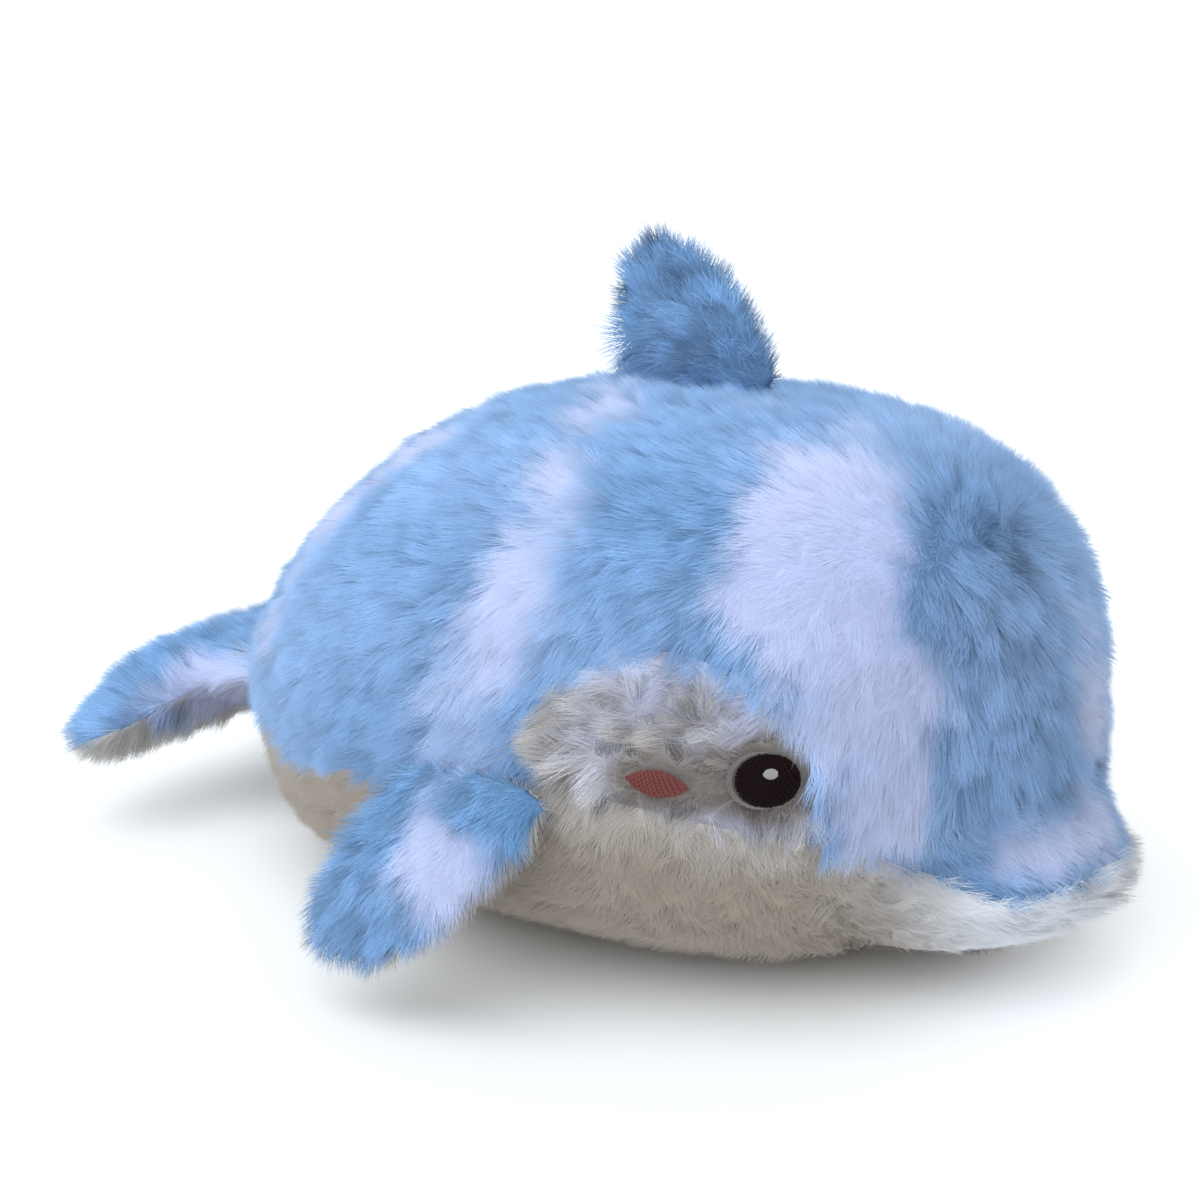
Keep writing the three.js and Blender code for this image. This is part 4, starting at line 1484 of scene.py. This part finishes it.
def stitched_piece(label, source, name, parts):
    """Joins threads and pads into one piece that stands for a stitched CAD node."""
    points, faces, offset = [], [], 0
    for some_points, some_faces in parts:
        points.append(some_points)
        faces += [tuple(corner + offset for corner in face) for face in some_faces]
        offset += len(some_points)
    mesh = bpy.data.meshes.new(f"{label}_stitching_{name}")
    mesh.from_pydata(np.concatenate(points).tolist(), [], faces)
    piece = new_piece(f"{label}_stitching_{name}", mesh)
    mesh.materials.append(thread_material(source))
    face_outwards(piece)
    shade_smooth(piece)
    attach(piece, "body")
    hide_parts(f"{label}_{name}")


def oval(stitch, grow, shift=0.0):
    """Outline of a stitched oval by angle."""
    def outline(angles):
        along = np.cos(angles) * (stitch["length"] + grow) + shift
        return along, np.sin(angles) * (stitch["height"] + grow)
    return outline


def almond(angles):
    """Outline of the ground under a cheek by angle."""
    along = np.cos(angles) * CHEEK["length"] * 0.94
    up = np.sign(np.sin(angles)) * CHEEK["height"] * 0.92 * (1 - np.cos(angles) ** 2)
    return along, up


def half_height(length, height, power, root=0.5):
    """Gives the half height of a stitched shape at a place along it."""
    def edge(along):
        return height * (1 - min(1, abs(along / length)) ** power) ** root
    return edge


def dome(length, height, low, rise):
    """Gives the height over the solids of a stitched shape, at places along and up it."""
    def height_at(along, up):
        return low + rise * np.clip(1 - (along / length) ** 2 - (up / height) ** 2, 0, 1)
    return height_at


def satin(stitch, side, edge, height_at, inset, pitch, shift, radius, bite):
    """Columns of short upright stitches between a shape's edges, laid like bricks.

    The columns start an inset from the shape's end and are a pitch apart, bite is the length
    of a stitch, and shift the share of it by which each column is moved up.
    """
    paths = []
    columns = np.arange(-stitch["length"] + inset, stitch["length"], pitch)
    for index, along in enumerate(columns):
        high = edge(along)
        if 2 * high < 3 * radius:
            continue
        start = -high - bite * (shift * index % 1)
        while start < high:
            a, b = max(start, -high), min(start + bite, high)
            start += bite
            if b - a < 1.2 * radius:
                continue
            end = radius if b - a > 2.4 * radius else 0.0
            up = np.linspace(a + end, b - end, 4)
            arch = np.array([0.0, 1.0, 1.0, 0.0]) * radius * 0.5
            paths.append(on_flank(stitch, side, np.full(4, along), up, height_at(along, up) + arch))
    return rods(np.array(paths), radius)


class DOLPHIN_OT_face(bpy.types.Operator):
    """Stitch the eyes, their rims and glints, and the cheeks."""

    bl_idname = "dolphin.face"
    bl_label = "Stitched Face"

    def execute(self, context):
        for name, side in SIDES.items():
            self.eye(name, side)
            self.rim(name, side)
            self.glint(name, side)
            self.cheek(name, side)
        return {"FINISHED"}

    def eye(self, name, side):
        length, height = EYE["length"], EYE["height"]
        rise = 0.0006
        threads = satin(EYE, side, half_height(length, height, power=2.2),
                        dome(length, height, STITCH_RAISE, rise),
                        inset=0.0003, pitch=0.00046, shift=0.37, radius=0.00030, bite=0.0036)
        ground = pad(EYE, side, oval(EYE, grow=-0.0004), STITCH_RAISE + rise)
        stitched_piece("eye", "eye", name, [threads, ground])

    def rim(self, name, side):
        paths = []
        for grow in (0.0006, 0.0012, 0.0018):
            angles = np.radians(np.linspace(112 - 20000 * grow, 262 + 12000 * grow, RIM_STEPS))
            shift = -RIM_SHIFT * (0.35 + 0.32 * grow / 0.001)
            along, up = oval(EYE, grow * 0.25, shift)(angles)
            paths.append(on_flank(EYE, side, along, up, np.full(RIM_STEPS, STITCH_RAISE * 0.6)))
        stitched_piece("eye_rim", "rim", name, [rods(np.array(paths), radius=0.00036)])

    def glint(self, name, side):
        half = GLINT["half"]
        place = dict(EYE, x=EYE["x"] + GLINT["ahead"] * forward_share(EYE),
                     z=EYE["z"] + GLINT["above"], length=half, height=half)
        threads = satin(place, side, half_height(half, 0.8 * half, power=2.0),
                        dome(half, half, STITCH_RAISE + 0.0010, rise=0.0),
                        inset=0.0002, pitch=0.00042, shift=0.0, radius=0.00028, bite=0.01)
        stitched_piece("eye_glint", "glint", name, [threads])

    def cheek(self, name, side):
        length, height = CHEEK["length"], CHEEK["height"]
        low = STITCH_RAISE * 0.7
        threads = satin(CHEEK, side, half_height(length, height, power=2.0, root=1.0),
                        dome(length, height, low, rise=0.0005),
                        inset=0.0003, pitch=0.00050, shift=0.31, radius=0.00031, bite=0.0034)
        ground = pad(CHEEK, side, almond, top=low + 0.0003)
        stitched_piece("cheek", "cheek", name, [threads, ground])


# Stage


class DOLPHIN_OT_stage(bpy.types.Operator):
    """Lay the pale floor, and set the soft lights and the camera."""

    bl_idname = "dolphin.stage"
    bl_label = "Stage"

    def execute(self, context):
        scene = context.scene
        stage, colours = scene.dolphin_stage, scene.dolphin_colours
        deselect()
        bpy.ops.mesh.primitive_plane_add(size=FLOOR_SIZE)
        floor = context.active_object
        floor.name = "floor"
        material, _, shader = new_material("pale_floor", roughness=0.9)
        shader.inputs["Base Color"].default_value = opaque(colours.floor)
        floor.data.materials.append(material)
        target = Vector(stage.target)
        for name in ("key", "fill"):
            lamp = bpy.data.lights.new(f"{name}_light", "SUN")
            lamp.energy = getattr(stage, f"{name}_strength")
            lamp.angle = stage.light_spread
            lamp.color = stage.light_colour
            holder = bpy.data.objects.new(f"{name}_light", lamp)
            scene.collection.objects.link(holder)
            way = Vector(getattr(stage, f"{name}_from"))
            holder.rotation_euler = way.to_track_quat("Z", "Y").to_euler()
        scene.world = self.sky(stage)
        lens = bpy.data.cameras.new("camera")
        lens.lens = stage.lens
        lens.sensor_width = SENSOR_WIDTH
        lens.clip_start = 0.01
        camera = bpy.data.objects.new("camera", lens)
        scene.collection.objects.link(camera)
        camera.location = stage.eye_place
        camera.rotation_euler = (target - camera.location).to_track_quat("-Z", "Y").to_euler()
        scene.camera = camera
        scene.view_settings.view_transform = "Standard"
        return {"FINISHED"}

    def sky(self, stage):
        """Even warm light, with a bright band where the floor ends."""
        world = bpy.data.worlds.new("even_sky")
        world.use_nodes = True
        tree = world.node_tree
        place = tree.nodes.new("ShaderNodeTexCoord")
        parts = tree.nodes.new("ShaderNodeSeparateXYZ")
        tree.links.new(place.outputs["Generated"], parts.inputs["Vector"])
        band = tree.nodes.new("ShaderNodeMapRange")
        band.inputs["From Min"].default_value = 0.10
        band.inputs["From Max"].default_value = 0.22
        band.inputs["To Min"].default_value = stage.horizon
        band.inputs["To Max"].default_value = stage.sky
        tree.links.new(parts.outputs["Z"], band.inputs["Value"])
        sky = tree.nodes["Background"]
        sky.inputs["Color"].default_value = opaque(stage.sky_colour)
        tree.links.new(band.outputs["Result"], sky.inputs["Strength"])
        return world


OPERATORS = (
    DOLPHIN_OT_stage, DOLPHIN_OT_body, DOLPHIN_OT_body_pile, DOLPHIN_OT_face,
    DOLPHIN_OT_fin, DOLPHIN_OT_flippers, DOLPHIN_OT_tail,
)


class DOLPHIN_PT_sidebar(bpy.types.Panel):
    """Lists the dolphin's pieces and their settings."""

    bl_idname = "DOLPHIN_PT_sidebar"
    bl_label = "Plush Dolphin"
    bl_space_type = "VIEW_3D"
    bl_region_type = "UI"
    bl_category = "Dolphin"

    def draw(self, context):
        for operator in OPERATORS:
            self.layout.operator(operator.bl_idname)
        for group in SETTINGS:
            settings = getattr(context.scene, group)
            box = self.layout.box()
            for name in settings.bl_rna.properties.keys():
                if name not in ("rna_type", "name"):
                    box.prop(settings, name)


SETTINGS = {
    "dolphin_shape": DolphinShape,
    "dolphin_pile": DolphinPile,
    "dolphin_colours": DolphinColours,
    "dolphin_stage": DolphinStage,
}
CLASSES = (*SETTINGS.values(), *OPERATORS, DOLPHIN_PT_sidebar)


def register():
    for cls in CLASSES:
        bpy.utils.register_class(cls)
    for name, cls in SETTINGS.items():
        setattr(bpy.types.Scene, name, PointerProperty(type=cls))


def unregister():
    for name in SETTINGS:
        delattr(bpy.types.Scene, name)
    for cls in reversed(CLASSES):
        bpy.utils.unregister_class(cls)


def main():
    register()
    bpy.ops.dolphin.stage()
    bpy.ops.dolphin.body()
    bpy.ops.dolphin.body_pile()
    bpy.ops.dolphin.face()
    bpy.ops.dolphin.fin()
    bpy.ops.dolphin.flippers()
    bpy.ops.dolphin.tail()


if __name__ == "__main__":
    main()
